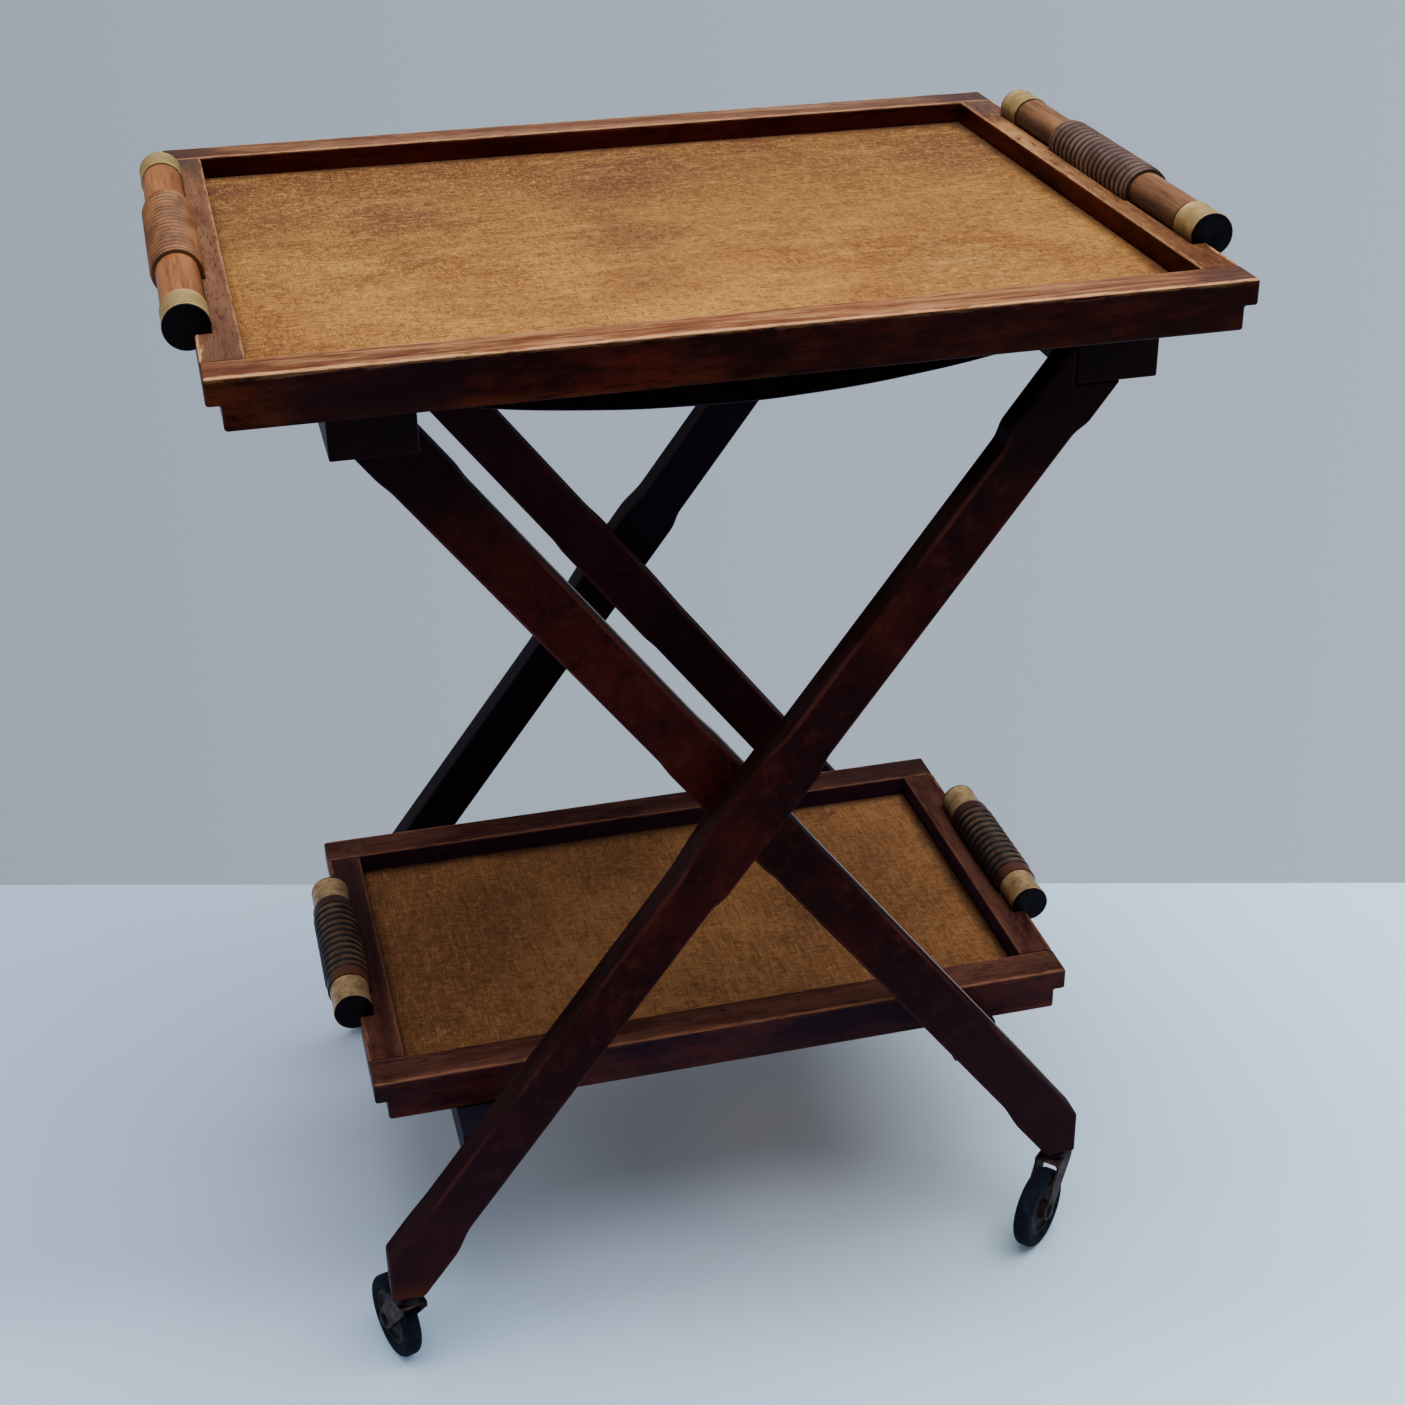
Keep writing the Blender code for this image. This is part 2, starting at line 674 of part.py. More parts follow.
def dowel_profile(length):
    """The round bar and the black cap on each end of it."""
    end = length / 2
    cap = end - CAP_LENGTH
    half = [(0, end), (CAP_RADIUS - DOWEL_ROUND, end), (CAP_RADIUS, end - DOWEL_ROUND), (CAP_RADIUS, cap),
            (DOWEL_RADIUS, cap)]
    return half + [(radius, -height) for radius, height in reversed(half)]


def ferrule_profile():
    half = FERRULE_LENGTH / 2
    outer = ferrule_radius()
    inner = DOWEL_RADIUS + TOUCH_GAP
    return [(inner, half), (outer - FERRULE_ROUND, half), (outer, half - FERRULE_ROUND),
            (outer, -half + FERRULE_ROUND), (outer - FERRULE_ROUND, -half), (inner, -half)]


def grip_profile(tray):
    """A sleeve with turned ribs between two plain collars."""
    half = tray.grip_length / 2
    run = half - tray.collar
    pitch = 2 * run / tray.ribs
    bore = DOWEL_RADIUS + TOUCH_GAP
    points = [(bore, half), (GRIP_COLLAR_RADIUS, half), (GRIP_COLLAR_RADIUS, run)]
    for rib in range(tray.ribs):
        top = run - rib * pitch
        if rib > 0:
            points.append((GRIP_GROOVE_RADIUS, top))
        points.append((GRIP_CREST_RADIUS, top - pitch / 2))
    points += [(GRIP_COLLAR_RADIUS, -run), (GRIP_COLLAR_RADIUS, -half), (bore, -half)]
    return points


def build_handles(tray, parent):
    dowel = turned_mesh("dowel", dowel_profile(tray.handle_length), HANDLE_SIDES)
    ferrule = turned_mesh("ferrule", ferrule_profile(), HANDLE_SIDES, ring=True)
    grip = turned_mesh("grip", grip_profile(tray), HANDLE_SIDES, ring=True)
    ferrule_y = tray.handle_length / 2 - CAP_LENGTH - TOUCH_GAP - FERRULE_LENGTH / 2
    for side, facing in (("right", Matrix()), ("left", turn(math.pi, "Z"))):
        axis = facing @ handle_axis(tray) @ turn(math.radians(90), "X")
        front = ferrule_y if side == "right" else -ferrule_y
        stem = tray.name + "_" + side
        place(stem + "_handle_bar", dowel, "handle_wood", axis, parent)
        place(stem + "_handle_grip", grip, "grip_wood", axis, parent)
        place(stem + "_ferrule_front", ferrule, "brass", axis @ at(0, 0, front), parent)
        place(stem + "_ferrule_rear", ferrule, "brass", axis @ at(0, 0, -front), parent)


# Casters

def stem_profile():
    """Heights are from the floor: the stem in the foot, the bearing cup and the rivet under the fork."""
    tip = foot_height() + STEM_LENGTH
    cup_top = foot_height() - TOUCH_GAP
    cup_low = fork_top() + RUN_GAP
    rivet_top = fork_top() - FORK_WALL - RUN_GAP
    return [
        (0, tip), (STEM_RADIUS, tip), (STEM_RADIUS, cup_top), (CUP_SHOULDER_RADIUS, cup_top),
        (CUP_RADIUS, (cup_top + cup_low) / 2), (CUP_RADIUS, cup_low), (STEM_NECK_RADIUS, cup_low),
        (STEM_NECK_RADIUS, rivet_top), (STEM_RIVET_RADIUS, rivet_top),
        (STEM_RIVET_RADIUS, rivet_top - STEM_RIVET_THICKNESS), (0, rivet_top - STEM_RIVET_THICKNESS),
    ]


def tyre_profile():
    half = TYRE_WIDTH / 2
    crown = half - TYRE_SHOULDER
    shoulder = WHEEL_RADIUS - TYRE_SHOULDER / 3
    wall = WHEEL_RADIUS - TYRE_SHOULDER
    inner = RIM_RADIUS + TOUCH_GAP
    seat = HUB_RIM_WIDTH / 2
    return [(inner, seat), (wall, half), (shoulder, crown + TYRE_SHOULDER / 2), (WHEEL_RADIUS, crown),
            (WHEEL_RADIUS, -crown), (shoulder, -crown - TYRE_SHOULDER / 2), (wall, -half), (inner, -seat)]


def hub_profile():
    """A dished disc with a rim that carries the tyre and a boss that turns on the axle."""
    bore = AXLE_RADIUS + RUN_GAP
    boss = HUB_BOSS_WIDTH / 2
    web = HUB_WEB_WIDTH / 2
    rim = HUB_RIM_WIDTH / 2
    lip = RIM_RADIUS - HUB_RIM_LIP
    upper = [(bore, boss), (HUB_BOSS_RADIUS, boss), (HUB_BOSS_RADIUS, web), (lip, web), (lip, rim),
             (RIM_RADIUS, rim)]
    return upper + [(radius, -height) for radius, height in reversed(upper)]


def axle_profile():
    head = fork_outer_width() / 2 + TOUCH_GAP
    end = head + AXLE_HEAD_THICKNESS
    half = [(0, end), (AXLE_HEAD_RADIUS, end), (AXLE_HEAD_RADIUS, head), (AXLE_RADIUS, head)]
    return half + [(radius, -height) for radius, height in reversed(half)]


def fork_inner_width():
    return max(TYRE_WIDTH + 2 * FORK_SIDE_CLEARANCE, HUB_BOSS_WIDTH + 2 * RUN_GAP)


def fork_outer_width():
    return fork_inner_width() + 2 * FORK_WALL


def fork_outline():
    """Side view with the swivel axis at x = 0 and the axle at the trail: a cheek that tapers to an eye."""
    eye = Vector((CASTER_TRAIL, WHEEL_RADIUS))
    corners = [Vector((FORK_FRONT_REACH, fork_top())), Vector((-FORK_BACK_REACH, fork_top())),
               Vector((-FORK_BACK_REACH, fork_top() - FORK_TOP_CLEARANCE - FORK_WALL))]
    back = corners[2] - eye
    front = Vector((FORK_FRONT_REACH, fork_top() - FORK_TOP_CLEARANCE - FORK_WALL)) - eye
    lean = math.acos(FORK_EYE_RADIUS / back.length)
    start = math.atan2(back.y, back.x) + lean
    lean = math.acos(FORK_EYE_RADIUS / front.length)
    stop = math.atan2(front.y, front.x) - lean + 2 * math.pi
    points = [(corner.x, corner.y) for corner in corners]
    for step in range(EYE_STEPS + 1):
        angle = start + (stop - start) * step / EYE_STEPS
        points.append((eye.x + FORK_EYE_RADIUS * math.cos(angle), eye.y + FORK_EYE_RADIUS * math.sin(angle)))
    points.append((front.x + eye.x, front.y + eye.y))
    return points


def fork_mesh():
    """A channel over the wheel, cut to the cheeks' outline, with holes for the stem and the axle."""
    item = draft("fork", outline_mesh("fork", fork_outline(), fork_outer_width()))
    length = 2 * (CASTER_TRAIL + FORK_EYE_RADIUS + CUT_OVERRUN)
    height = fork_top() - FORK_WALL
    cut(item, box_draft("slot", (2 * length, fork_inner_width(), height), (0, 0, height / 2)))
    cut(item, rod_draft("stem_hole", STEM_NECK_RADIUS + RUN_GAP, 2 * CUT_OVERRUN + FORK_WALL, PIN_SIDES,
                        at(0, 0, fork_top() - FORK_WALL / 2)))
    cut(item, rod_draft("axle_hole", AXLE_RADIUS + TOUCH_GAP, fork_outer_width() + 2 * CUT_OVERRUN, PIN_SIDES,
                        at(CASTER_TRAIL, 0, WHEEL_RADIUS) @ turn(math.radians(90), "X")))
    result = baked(item)
    drop_drafts()
    return result


def build_casters(outer, inner):
    stem = turned_mesh("caster_stem", stem_profile(), PIN_SIDES)
    fork = fork_mesh()
    axle = turned_mesh("caster_axle", axle_profile(), PIN_SIDES)
    hub = turned_mesh("wheel_hub", hub_profile(), HUB_SIDES, ring=True)
    tyre = turned_mesh("wheel_tyre", tyre_profile(), WHEEL_SIDES, ring=True)
    outer_y = frame_front() - LEG_THICKNESS / 2
    inner_y = inner_leg_front() - LEG_THICKNESS / 2
    places = (
        ("front_left", -stem_x(), -outer_y, FRONT_LEFT_HEADING, outer),
        ("front_right", stem_x(), -inner_y, FRONT_RIGHT_HEADING, inner),
        ("rear_left", -stem_x(), outer_y, REAR_LEFT_HEADING, outer),
        ("rear_right", stem_x(), inner_y, REAR_RIGHT_HEADING, inner),
    )
    for name, x, y, heading, frame in places:
        swivel = joint_empty(name + "_swivel", (x, y, foot_height()), frame)
        spot = at(x, y, 0) @ turn(heading, "Z")
        axis = spot @ at(CASTER_TRAIL, 0, WHEEL_RADIUS) @ turn(math.radians(90), "X")
        spin = joint_empty(name + "_spin", axis.translation, swivel)
        place(name + "_caster_stem", stem, "steel", at(x, y, 0), frame)
        place(name + "_caster_fork", fork, "steel", spot, swivel)
        place(name + "_caster_axle", axle, "steel", axis, swivel)
        place(name + "_wheel_hub", hub, "hub", axis, spin)
        place(name + "_wheel_tyre", tyre, "rubber", axis, spin)


def build_table():
    outer = joint_empty("outer_frame", (0, 0, PIVOT_HEIGHT))
    inner = joint_empty("inner_frame_pivot", (0, 0, PIVOT_HEIGHT), outer)
    upper = joint_empty("upper_tray_lift", (0, 0, UPPER.top), outer)
    lower = joint_empty("lower_tray_slide", (0, 0, LOWER.top), outer)
    build_legs(outer, inner)
    build_bolts(outer)
    build_battens(outer, inner)
    build_straps(outer)
    build_tray(UPPER, upper)
    build_tray(LOWER, lower)
    build_casters(outer, inner)


clear_scene()
PARTS = new_collection("dessert_table")
DRAFTS = new_collection("cutters")
build_table()
drop_drafts()
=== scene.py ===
from math import acos, atan2, cos, degrees, pi, radians, sin, tan
from types import SimpleNamespace as Group

import bmesh
import bpy
from mathutils import Matrix, Vector, noise


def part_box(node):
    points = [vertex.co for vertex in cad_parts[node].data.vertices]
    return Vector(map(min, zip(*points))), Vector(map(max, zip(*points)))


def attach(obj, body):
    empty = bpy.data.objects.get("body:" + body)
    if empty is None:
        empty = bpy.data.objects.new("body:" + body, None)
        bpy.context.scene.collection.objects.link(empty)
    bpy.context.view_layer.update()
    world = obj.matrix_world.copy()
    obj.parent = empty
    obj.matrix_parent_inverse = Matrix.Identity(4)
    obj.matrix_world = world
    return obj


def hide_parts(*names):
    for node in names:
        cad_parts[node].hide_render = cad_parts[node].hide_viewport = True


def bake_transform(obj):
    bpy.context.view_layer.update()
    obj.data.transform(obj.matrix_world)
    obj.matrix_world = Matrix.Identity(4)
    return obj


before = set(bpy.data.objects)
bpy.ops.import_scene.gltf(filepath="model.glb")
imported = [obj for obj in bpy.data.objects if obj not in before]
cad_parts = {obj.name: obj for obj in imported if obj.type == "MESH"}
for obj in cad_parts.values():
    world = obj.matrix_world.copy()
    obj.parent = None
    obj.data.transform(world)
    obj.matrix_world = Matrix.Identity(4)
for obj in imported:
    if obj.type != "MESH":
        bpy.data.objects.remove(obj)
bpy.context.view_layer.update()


def sized_from(node):
    low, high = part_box(node)
    return Vector(low), Vector(high)


# Sizes repeated from the part's source, in metres

GAP = 0.0003
PIVOT = 0.4045
LEG_ANGLE = radians(52.8)
LEG_THICKNESS = 0.0214
LEG_GAP = 0.0025
FRAME_FRONT = 0.2075
FOOT = sized_from("outer_leg_front")[0].z
TOP_CUT = sized_from("outer_top_batten")[0].z - GAP
FOOT_TRIM = 0.0035
WHEEL = 0.0295
TRAIL = 0.024
FORK_TOP = 0.0637
FORK_WALL = 0.0017
DOWEL = 0.0126
FERRULE = 0.0136
FERRULE_LENGTH = 0.0255
RIM_HEIGHT = 0.016
RAIL_DEPTH = 0.0305
LONG_RAIL = 0.0275
END_RAIL = 0.0247
END_NOTCH = 0.0082
HANDLE_OUTSET = 0.0034
HANDLE_RISE = 0.0043
UPPER = Group(name="upper_tray", x=0.3, y=0.235, top=0.74,
              handle=0.325, grip=0.13, collar=0.003, ribs=17)
LOWER = Group(name="lower_tray", x=0.245, y=sized_from("lower_tray_rail_rear")[1].y, top=0.214,
              handle=0.157, grip=0.1025, collar=0.0095, ribs=11)


def setup(item, **settings):
    for name, value in settings.items():
        setattr(item, name, value)


def placed(name, data):
    item = bpy.data.objects.new(name, data)
    bpy.context.scene.collection.objects.link(item)
    return item


# Camera at the photograph's viewing angle

EYE = (-0.3192, -1.3903, 1.1555)
YAW, PITCH, ROLL = radians(15.088), radians(28.074), radians(-0.324)
PICTURE_WIDTH, FOCAL_LENGTH = 1405, 2289.44
SENSOR_WIDTH = 36


def make_camera():
    ahead = Vector((sin(YAW) * cos(PITCH), cos(YAW) * cos(PITCH), -sin(PITCH)))
    right = ahead.cross(Vector((0, 0, 1))).normalized()
    up = right.cross(ahead)
    turned_right = right * cos(ROLL) + up * sin(ROLL)
    turned_up = up * cos(ROLL) - right * sin(ROLL)
    data = bpy.data.cameras.new("camera")
    lens = FOCAL_LENGTH * SENSOR_WIDTH / PICTURE_WIDTH
    setup(data, sensor_width=SENSOR_WIDTH, lens=lens, shift_x=-0.0332, shift_y=-0.0107)
    camera = placed("camera", data)
    rows = Matrix((turned_right, turned_up, -ahead)).transposed().to_4x4()
    camera.matrix_world = Matrix.Translation(EYE) @ rows
    bpy.context.scene.camera = camera


# Shader arithmetic

def rgb(*display):
    """Linear colour from 8-bit display values."""
    shares = [value / 255 for value in display]
    return (*(share / 12.92 if share <= 0.04045 else ((share + 0.055) / 1.055) ** 2.4 for share in shares), 1)


def feed(tree, slot, item):
    if isinstance(item, Value):
        tree.links.new(item.socket, slot)
    else:
        slot.default_value = item


def shader(tree, kind, inputs=(), output=0, **settings):
    """One output of a new shader node with the given inputs and settings."""
    node = tree.nodes.new("ShaderNode" + kind)
    setup(node, **settings)
    for name, item in inputs:
        feed(tree, node.inputs[name], item)
    return Value(tree, node.outputs[output])


def split(place):
    parts = shader(place.tree, "SeparateXYZ", [(0, place)]).socket.node.outputs
    return [Value(place.tree, part) for part in parts]


def operation(kind):
    def method(self, *others):
        return shader(self.tree, "Math", enumerate((self, *others)), operation=kind)
    return method


class Value:
    """A socket of a shader graph that can be used in sums."""

    def __init__(self, tree, socket):
        self.tree = tree
        self.socket = socket

    __add__ = __radd__ = operation("ADD")
    __sub__ = operation("SUBTRACT")
    __mul__ = __rmul__ = operation("MULTIPLY")
    __abs__ = operation("ABSOLUTE")
    sine = operation("SINE")
    least = operation("MINIMUM")
    most = operation("MAXIMUM")
    __pow__ = operation("POWER")

    def __rsub__(self, other):
        return self * -1 + other

    def ramp(self, low, high, first, last, kind="LINEAR"):
        return shader(self.tree, "MapRange", enumerate((self, low, high, first, last)), interpolation_type=kind)

    def stray(self, pattern, reach):
        """Moved by half of reach at most, so that a border drawn from it wanders with the pattern."""
        return self + (pattern - 0.5) * reach

    def above(self, low, high, *wander):
        """Smooth from 0 at low to 1 at high, which may be the smaller; a pattern and its reach may follow."""
        place = self.stray(*wander) if wander else self
        limits = (low, high, 0, 1) if low <= high else (high, low, 1, 0)
        return place.ramp(*limits, "SMOOTHSTEP")


class Paint:
    """One material, with its place on the object as x, y, z in metres."""

    def __init__(self, name, specular=0.5, metallic=0):
        self.material = bpy.data.materials.new(name)
        self.material.use_nodes = True
        self.tree = self.material.node_tree
        self.shader = self.tree.nodes["Principled BSDF"]
        self.set("Specular IOR Level", specular)
        self.set("Metallic", metallic)
        self.place = shader(self.tree, "TexCoord", output="Object")
        self.x, self.y, self.z = split(self.place)
        self.up = split(shader(self.tree, "TexCoord", output="Normal"))[2]
        self.seeds = 0

    def set(self, name, value):
        feed(self.tree, self.shader.inputs[name], value)

    def noise(self, scale, detail=2, rough=0.5, bend=0):
        """Cloudy pattern from 0 to 1; scale is one number or one along each axis, per metre."""
        self.seeds += 1
        scale = scale if isinstance(scale, tuple) else (scale, scale, scale)
        offset = (7.3 * self.seeds, 3.1 * self.seeds, 11.7 * self.seeds)
        place = shader(self.tree, "VectorMath", enumerate((self.place, scale, offset)), operation="MULTIPLY_ADD")
        inputs = ("Vector", place), ("Scale", 1), ("Detail", detail), ("Roughness", rough), ("Distortion", bend)
        return shader(self.tree, "TexNoise", inputs, "Fac")

    def grain(self, axis, along, across, *rest):
        return self.noise(tuple(along if letter == axis else across for letter in "xyz"), *rest)

    def mix(self, share, first, second, how="MIX"):
        """Colours are sockets or 8-bit display values; MULTIPLY takes a linear factor for each channel."""
        if how == "MULTIPLY":
            second = (*second, 1)
        elif not isinstance(second, Value):
            second = rgb(*second)
        if not isinstance(first, Value):
            first = rgb(*first)
        inputs = (0, share), (6, first), (7, second)
        return shader(self.tree, "Mix", inputs, 2, data_type="RGBA", blend_type=how, clamp_factor=True)

    def layers(self, body, rows):
        """Lays colours over the body in turn; a row holds a share, a colour and at times a way of mixing."""
        for share, colour, *how in rows:
            body = self.mix(share, body, colour, *how)
        return body

    def near(self, x, y, radius, wander=0):
        """A soft spot about a place seen from above."""
        gap = ((self.x - x) ** 2 + (self.y - y) ** 2) ** 0.5
        if wander:
            gap = gap.stray(self.noise(22, 3), wander)
        return gap.above(radius, radius * 0.25)

    def to_rail(self, low, high, wander):
        """Grows on the side of a bar that faces down to its rail, as a share of the bar's radius; it places painted
        shade.
        """
        side = (self.x * -0.82 + self.y * -0.57) * (1 / DOWEL)
        return side.above(low, high, wander, 0.5)

    def finish(self, colour, rows, roughness, height, depth):
        """The last step of a material: its bump rises by depth in metres where height goes from 0 to 1."""
        self.set("Base Color", self.layers(colour, rows))
        self.set("Roughness", roughness)
        self.set("Normal", shader(self.tree, "Bump", (("Strength", 1), ("Distance", depth), ("Height", height))))
        return self.material


# Wood of the trays

RAIL_TONES = {
    "upper_tray": Group(
        dark=(24, 2, 1), warm=(66, 17, 6), olive=(88, 40, 12), stain=(70, 34, 26), bare=(206, 146, 98)),
    "lower_tray": Group(
        dark=(31, 11, 20), warm=(61, 25, 24), olive=(74, 36, 24), stain=(38, 13, 14), bare=(150, 98, 68)),
}
LOWER_TOP = ((58, 29, 23), (96, 58, 44))
UPPER_TOPS = {
    "long": ((110, 60, 36), (162, 106, 68)),
    "left": ((82, 49, 33), (126, 86, 60)),
    "right": ((106, 68, 42), (164, 116, 72)),
}
# Far and near end of an upper end rail: wander, start, full, share and colour
UPPER_RAIL_ENDS = {
    "left": ((0.07, 0.145, 0.205, 0.7, (66, 56, 46)), (0.1, -0.08, -0.2, 0.5, (66, 40, 32))),
    "right": ((0.06, 0.15, 0.2, 0.75, (88, 68, 58)), (0.1, -0.04, -0.16, 0.55, (98, 58, 34))),
}


def wood_grain(paint, axis):
    """Broad figure, fine streaks and pores along one axis, each from 0 to 1."""
    figure = paint.grain(axis, 3.5, 42, 4, 0.55, 0.6)
    streak = paint.grain(axis, 14, 420, 3, 0.6)
    pores = paint.grain(axis, 70, 1500, 2, 0.5).above(0.6, 0.7)
    return figure, streak, pores


def rail_face_rows(paint, upper, axis, blotch, outside):
    """Upright faces: the inner ones differ, with painted light on those of the upper tray, and the upper front rail
    gets darker to the right.
    """
    inside = outside.above(0.5, 0)
    if not upper:
        return [(inside * 0.85, (54, 33, 44))]
    # Painted light: the upper tray's inner walls turn lighter and warmer from x = -0.32 to the right.
    painted_wall_light = paint.x.above(-0.32, -0.14, blotch, 0.3) * inside
    rows = [
        (painted_wall_light * blotch.above(0.3, 0.6) * 0.8, (60, 17, 9) if axis == "x" else (74, 22, 10)),
        (outside * paint.x.above(-0.08, 0.14, blotch, 0.2) * 0.85, (29, 7, 5)),
    ]
    if axis == "x":
        fleck = paint.noise((38, 38, 90), 5, 0.7).above(0.46, 0.64)
        shaded = abs(paint.x + 0.215).above(0.075, 0.02, blotch, 0.12)
        rows += [(outside * fleck * 0.4, (66, 22, 9)), (outside * shaded * 0.8, (22, 6, 11))]
    return rows


def upper_long_rows(paint):
    """Tops of the upper long rails: rubbed pale in front, greyer at the back, worn at the corners."""
    dull = paint.noise((20, 230, 1), 5, 0.66)
    rear = paint.y.above(0, 0.1)
    corners = (paint.x + abs(paint.y) * 0.3).above(0.312, 0.345, dull, 0.05)
    return [
        (paint.y.above(0.05, -0.05) * dull.above(0.54, 0.38) * 0.5, (180, 130, 86)),
        (dull.above(0.52, 0.64) * 0.55, (84, 46, 36)),
        (paint.x.above(0.1, 0.22, dull, 0.16) * 0.45, (90, 54, 43)),
        (corners * 0.8, (74, 48, 42)),
        (paint.x.above(-0.24, -0.3, dull, 0.1) * 0.5, (84, 44, 30)),
        (rear, (0.88, 1.13, 1.4), "MULTIPLY"),
        (rear * paint.x.above(-0.1, -0.22, dull, 0.05), (0.88, 0.84, 0.78), "MULTIPLY"),
        (rear * paint.x.above(-0.255, -0.28, dull, 0.05) * 0.65, (62, 44, 38)),
    ]


def lower_top_rows(paint, axis, side, corner):
    """Tops of the lower rails: scuffed, with a dark far right end and a dark rear half of the left rail."""
    scuff = paint.noise((48, 48, 1), 5, 0.68)
    rows = [
        (corner * scuff.above(0.42, 0.58) * 0.6, (92, 60, 42)),
        (scuff.above(0.6, 0.7) * 0.6, (34, 16, 14)),
    ]
    if axis == "x":
        rows.append((paint.y.above(0, 0.1) * paint.x.above(0.13, 0.2, scuff, 0.1) * 0.7, (44, 26, 24)))
    if side == "left":
        rows.append((paint.y.above(-0.07, 0, scuff, 0.1) * 0.55, (30, 16, 25)))
    return rows


def end_rail_rows(paint, tray, side, blotch, stain):
    """Tops of the end rails: darker under the handle, with stains and painted shade, and other colours at both ends
    of the upper ones.
    """
    half, edge = tray.handle / 2, tray.x
    # Stains together with painted shade of the bar, in a band under the handle.
    under = abs(paint.x).above(edge - 0.016, edge - 0.004) * abs(paint.y).above(half + 0.01, half - 0.01)
    rows = [(under * 0.6, stain)]
    if tray is UPPER:
        for reach, start, full, share, colour in UPPER_RAIL_ENDS[side]:
            rows.append((paint.y.stray(blotch, reach).above(start, full) * share, colour))
    return rows


def tray_wood(tray, axis, side):
    """Lacquered rail: dark on its sides, rubbed and lighter on top and along its edges, partly as a painted sheen
    and highlight.
    """
    upper = tray is UPPER
    tones = RAIL_TONES[tray.name]
    dark, stain = tones.dark, tones.stain
    low_top, high_top = UPPER_TOPS[side] if upper else LOWER_TOP
    paint = Paint(f"{tray.name}_{side}_wood", 0.03)
    figure, streak, pores = wood_grain(paint, axis)
    blotch = paint.grain(axis, 9, 28, 5, 0.62)
    fine = paint.noise(260, 3, 0.6)
    speck = paint.grain(axis, 60, 240, 4, 0.68)
    if axis == "x":
        along, across, half, outer, width = paint.x, abs(paint.y), tray.x, tray.y, LONG_RAIL
    else:
        along, across, half, outer, width = paint.y, abs(paint.x), tray.y, tray.x, END_RAIL

    low_edge = (paint.z - (tray.top - RAIL_DEPTH)).above(0.013, 0.001)
    ends = (along * -1 if upper else abs(along)).above(half * 0.62, half * 0.99)
    outside = across.above(outer - 0.006, outer - 0.002)
    rubbed = (ends * 0.6 + low_edge * 0.6) * paint.grain(axis, 16, 60, 4, 0.65).above(0.38, 0.6)
    rows = [(blotch.above(0.42, 0.64) * (outside * 0.8 + 0.2), tones.warm), (rubbed * outside * 0.9, tones.olive)]
    rows += rail_face_rows(paint, upper, axis, blotch, outside)
    faces = paint.layers(dark, rows + [(speck.above(0.5, 0.66) * 0.6, dark)])

    patches = paint.grain(axis, 11, 34, 5, 0.6).above(0.52, 0.66)
    busy = upper and side == "right"
    reach = 0.58 if busy else 0.8
    corner = abs(along).above(half * reach, half * (reach + 0.16), blotch, 0.12)
    rows = [
        (figure.above(0.3, 0.7), high_top),
        (patches * 0.6, stain),
        (corner * (0.8 if axis == "y" else 0.45), stain),
        (speck.above(0.52, 0.66) * (0.8 if busy else 0.5), stain),
        (speck.above(0.46, 0.32) * 0.5, high_top),
    ]
    if not upper:
        rows += lower_top_rows(paint, axis, side, corner)
    elif axis == "x":
        rows += upper_long_rows(paint)
    if axis == "y":
        rows += end_rail_rows(paint, tray, side, blotch, stain)
    top = paint.layers(low_top, rows)

    facing = paint.up.above(0.45, 0.8, fine, 0.3)
    drop = (paint.z - tray.top) ** 2
    rim = ((across - outer) ** 2 + drop) ** 0.5
    lip = ((across - (outer - width)) ** 2 + drop) ** 0.5
    nibble = paint.grain(axis, 55, 420, 4, 0.7)
    worn = rim.above(0.003, 0.001, nibble, 0.009) * (0.9 if upper else 0.6)
    worn_lip = lip.above(0.0024, 0.0008, nibble, 0.006) * (0.45 if axis == "x" else 0.3)
    # The lighter tops are worn finish together with a painted sheen, and the pale edges are wear together with a
    # painted highlight.
    return paint.finish(faces, [
        (facing, top),
        (worn.most(worn_lip) * facing.above(-0.2, 0.6), tones.bare),
        (abs(streak - 0.5) * 1.2, dark),
        (pores * 0.55, dark),
    ], 0.3 + streak * 0.18 + facing * 0.16 + worn * 0.15, streak * 0.5 + pores * -0.5 + fine * 0.35, 0.00035)


def board_wood():
    paint = Paint("board_wood", 0.04)
    figure, streak, pores = wood_grain(paint, "x")
    return paint.finish((66, 36, 22), [
        (figure.above(0.3, 0.7), (104, 64, 40)),
        (pores * 0.6 + streak.above(0.6, 0.75) * 0.3, (50, 28, 20)),
        (paint.up.above(-0.85, -0.6), (34, 12, 8)),
    ], 0.8, streak * 0.6 - pores * 0.4, 0.0004)


# Wood of the handles

def dowel_wood(tray, side):
    dim = tray is UPPER and side == "right"
    paint = Paint(f"{tray.name}_{side}_dowel_wood", 0.12 if dim else 0.25)
    figure = paint.noise((60, 60, 7), 4, 0.6, 0.4)
    streak = paint.noise((520, 520, 22), 3, 0.6)
    rubbed = paint.noise((40, 40, 26), 5, 0.65)
    low, high, line = (116, 62, 26), (162, 100, 50), (84, 38, 15)
    if dim:
        low, high, line = (96, 60, 36), (142, 100, 64), (62, 34, 20)
    mouth = tray.handle / 2 - 0.0272
    return paint.finish(low, [
        (figure.above(0.3, 0.7), high),
        (streak.above(0.52, 0.7) * 0.65, line),
        (rubbed.above(0.56, 0.72) * 0.5, (109, 60, 33)),
        # Painted shadow: a dark band where the dowel goes into the ferrule.
        (abs(paint.z).above(mouth - 0.004, mouth - 0.0018) * 0.85, (34, 14, 8)),
        # Painted shade, with some dirt, on the side that faces the rail.
        (paint.to_rail(0.1, 0.8, rubbed) * (0.85 if dim else 0.6), (40, 20, 14)),
    ], 0.36 + streak * 0.2, streak, 0.0002)


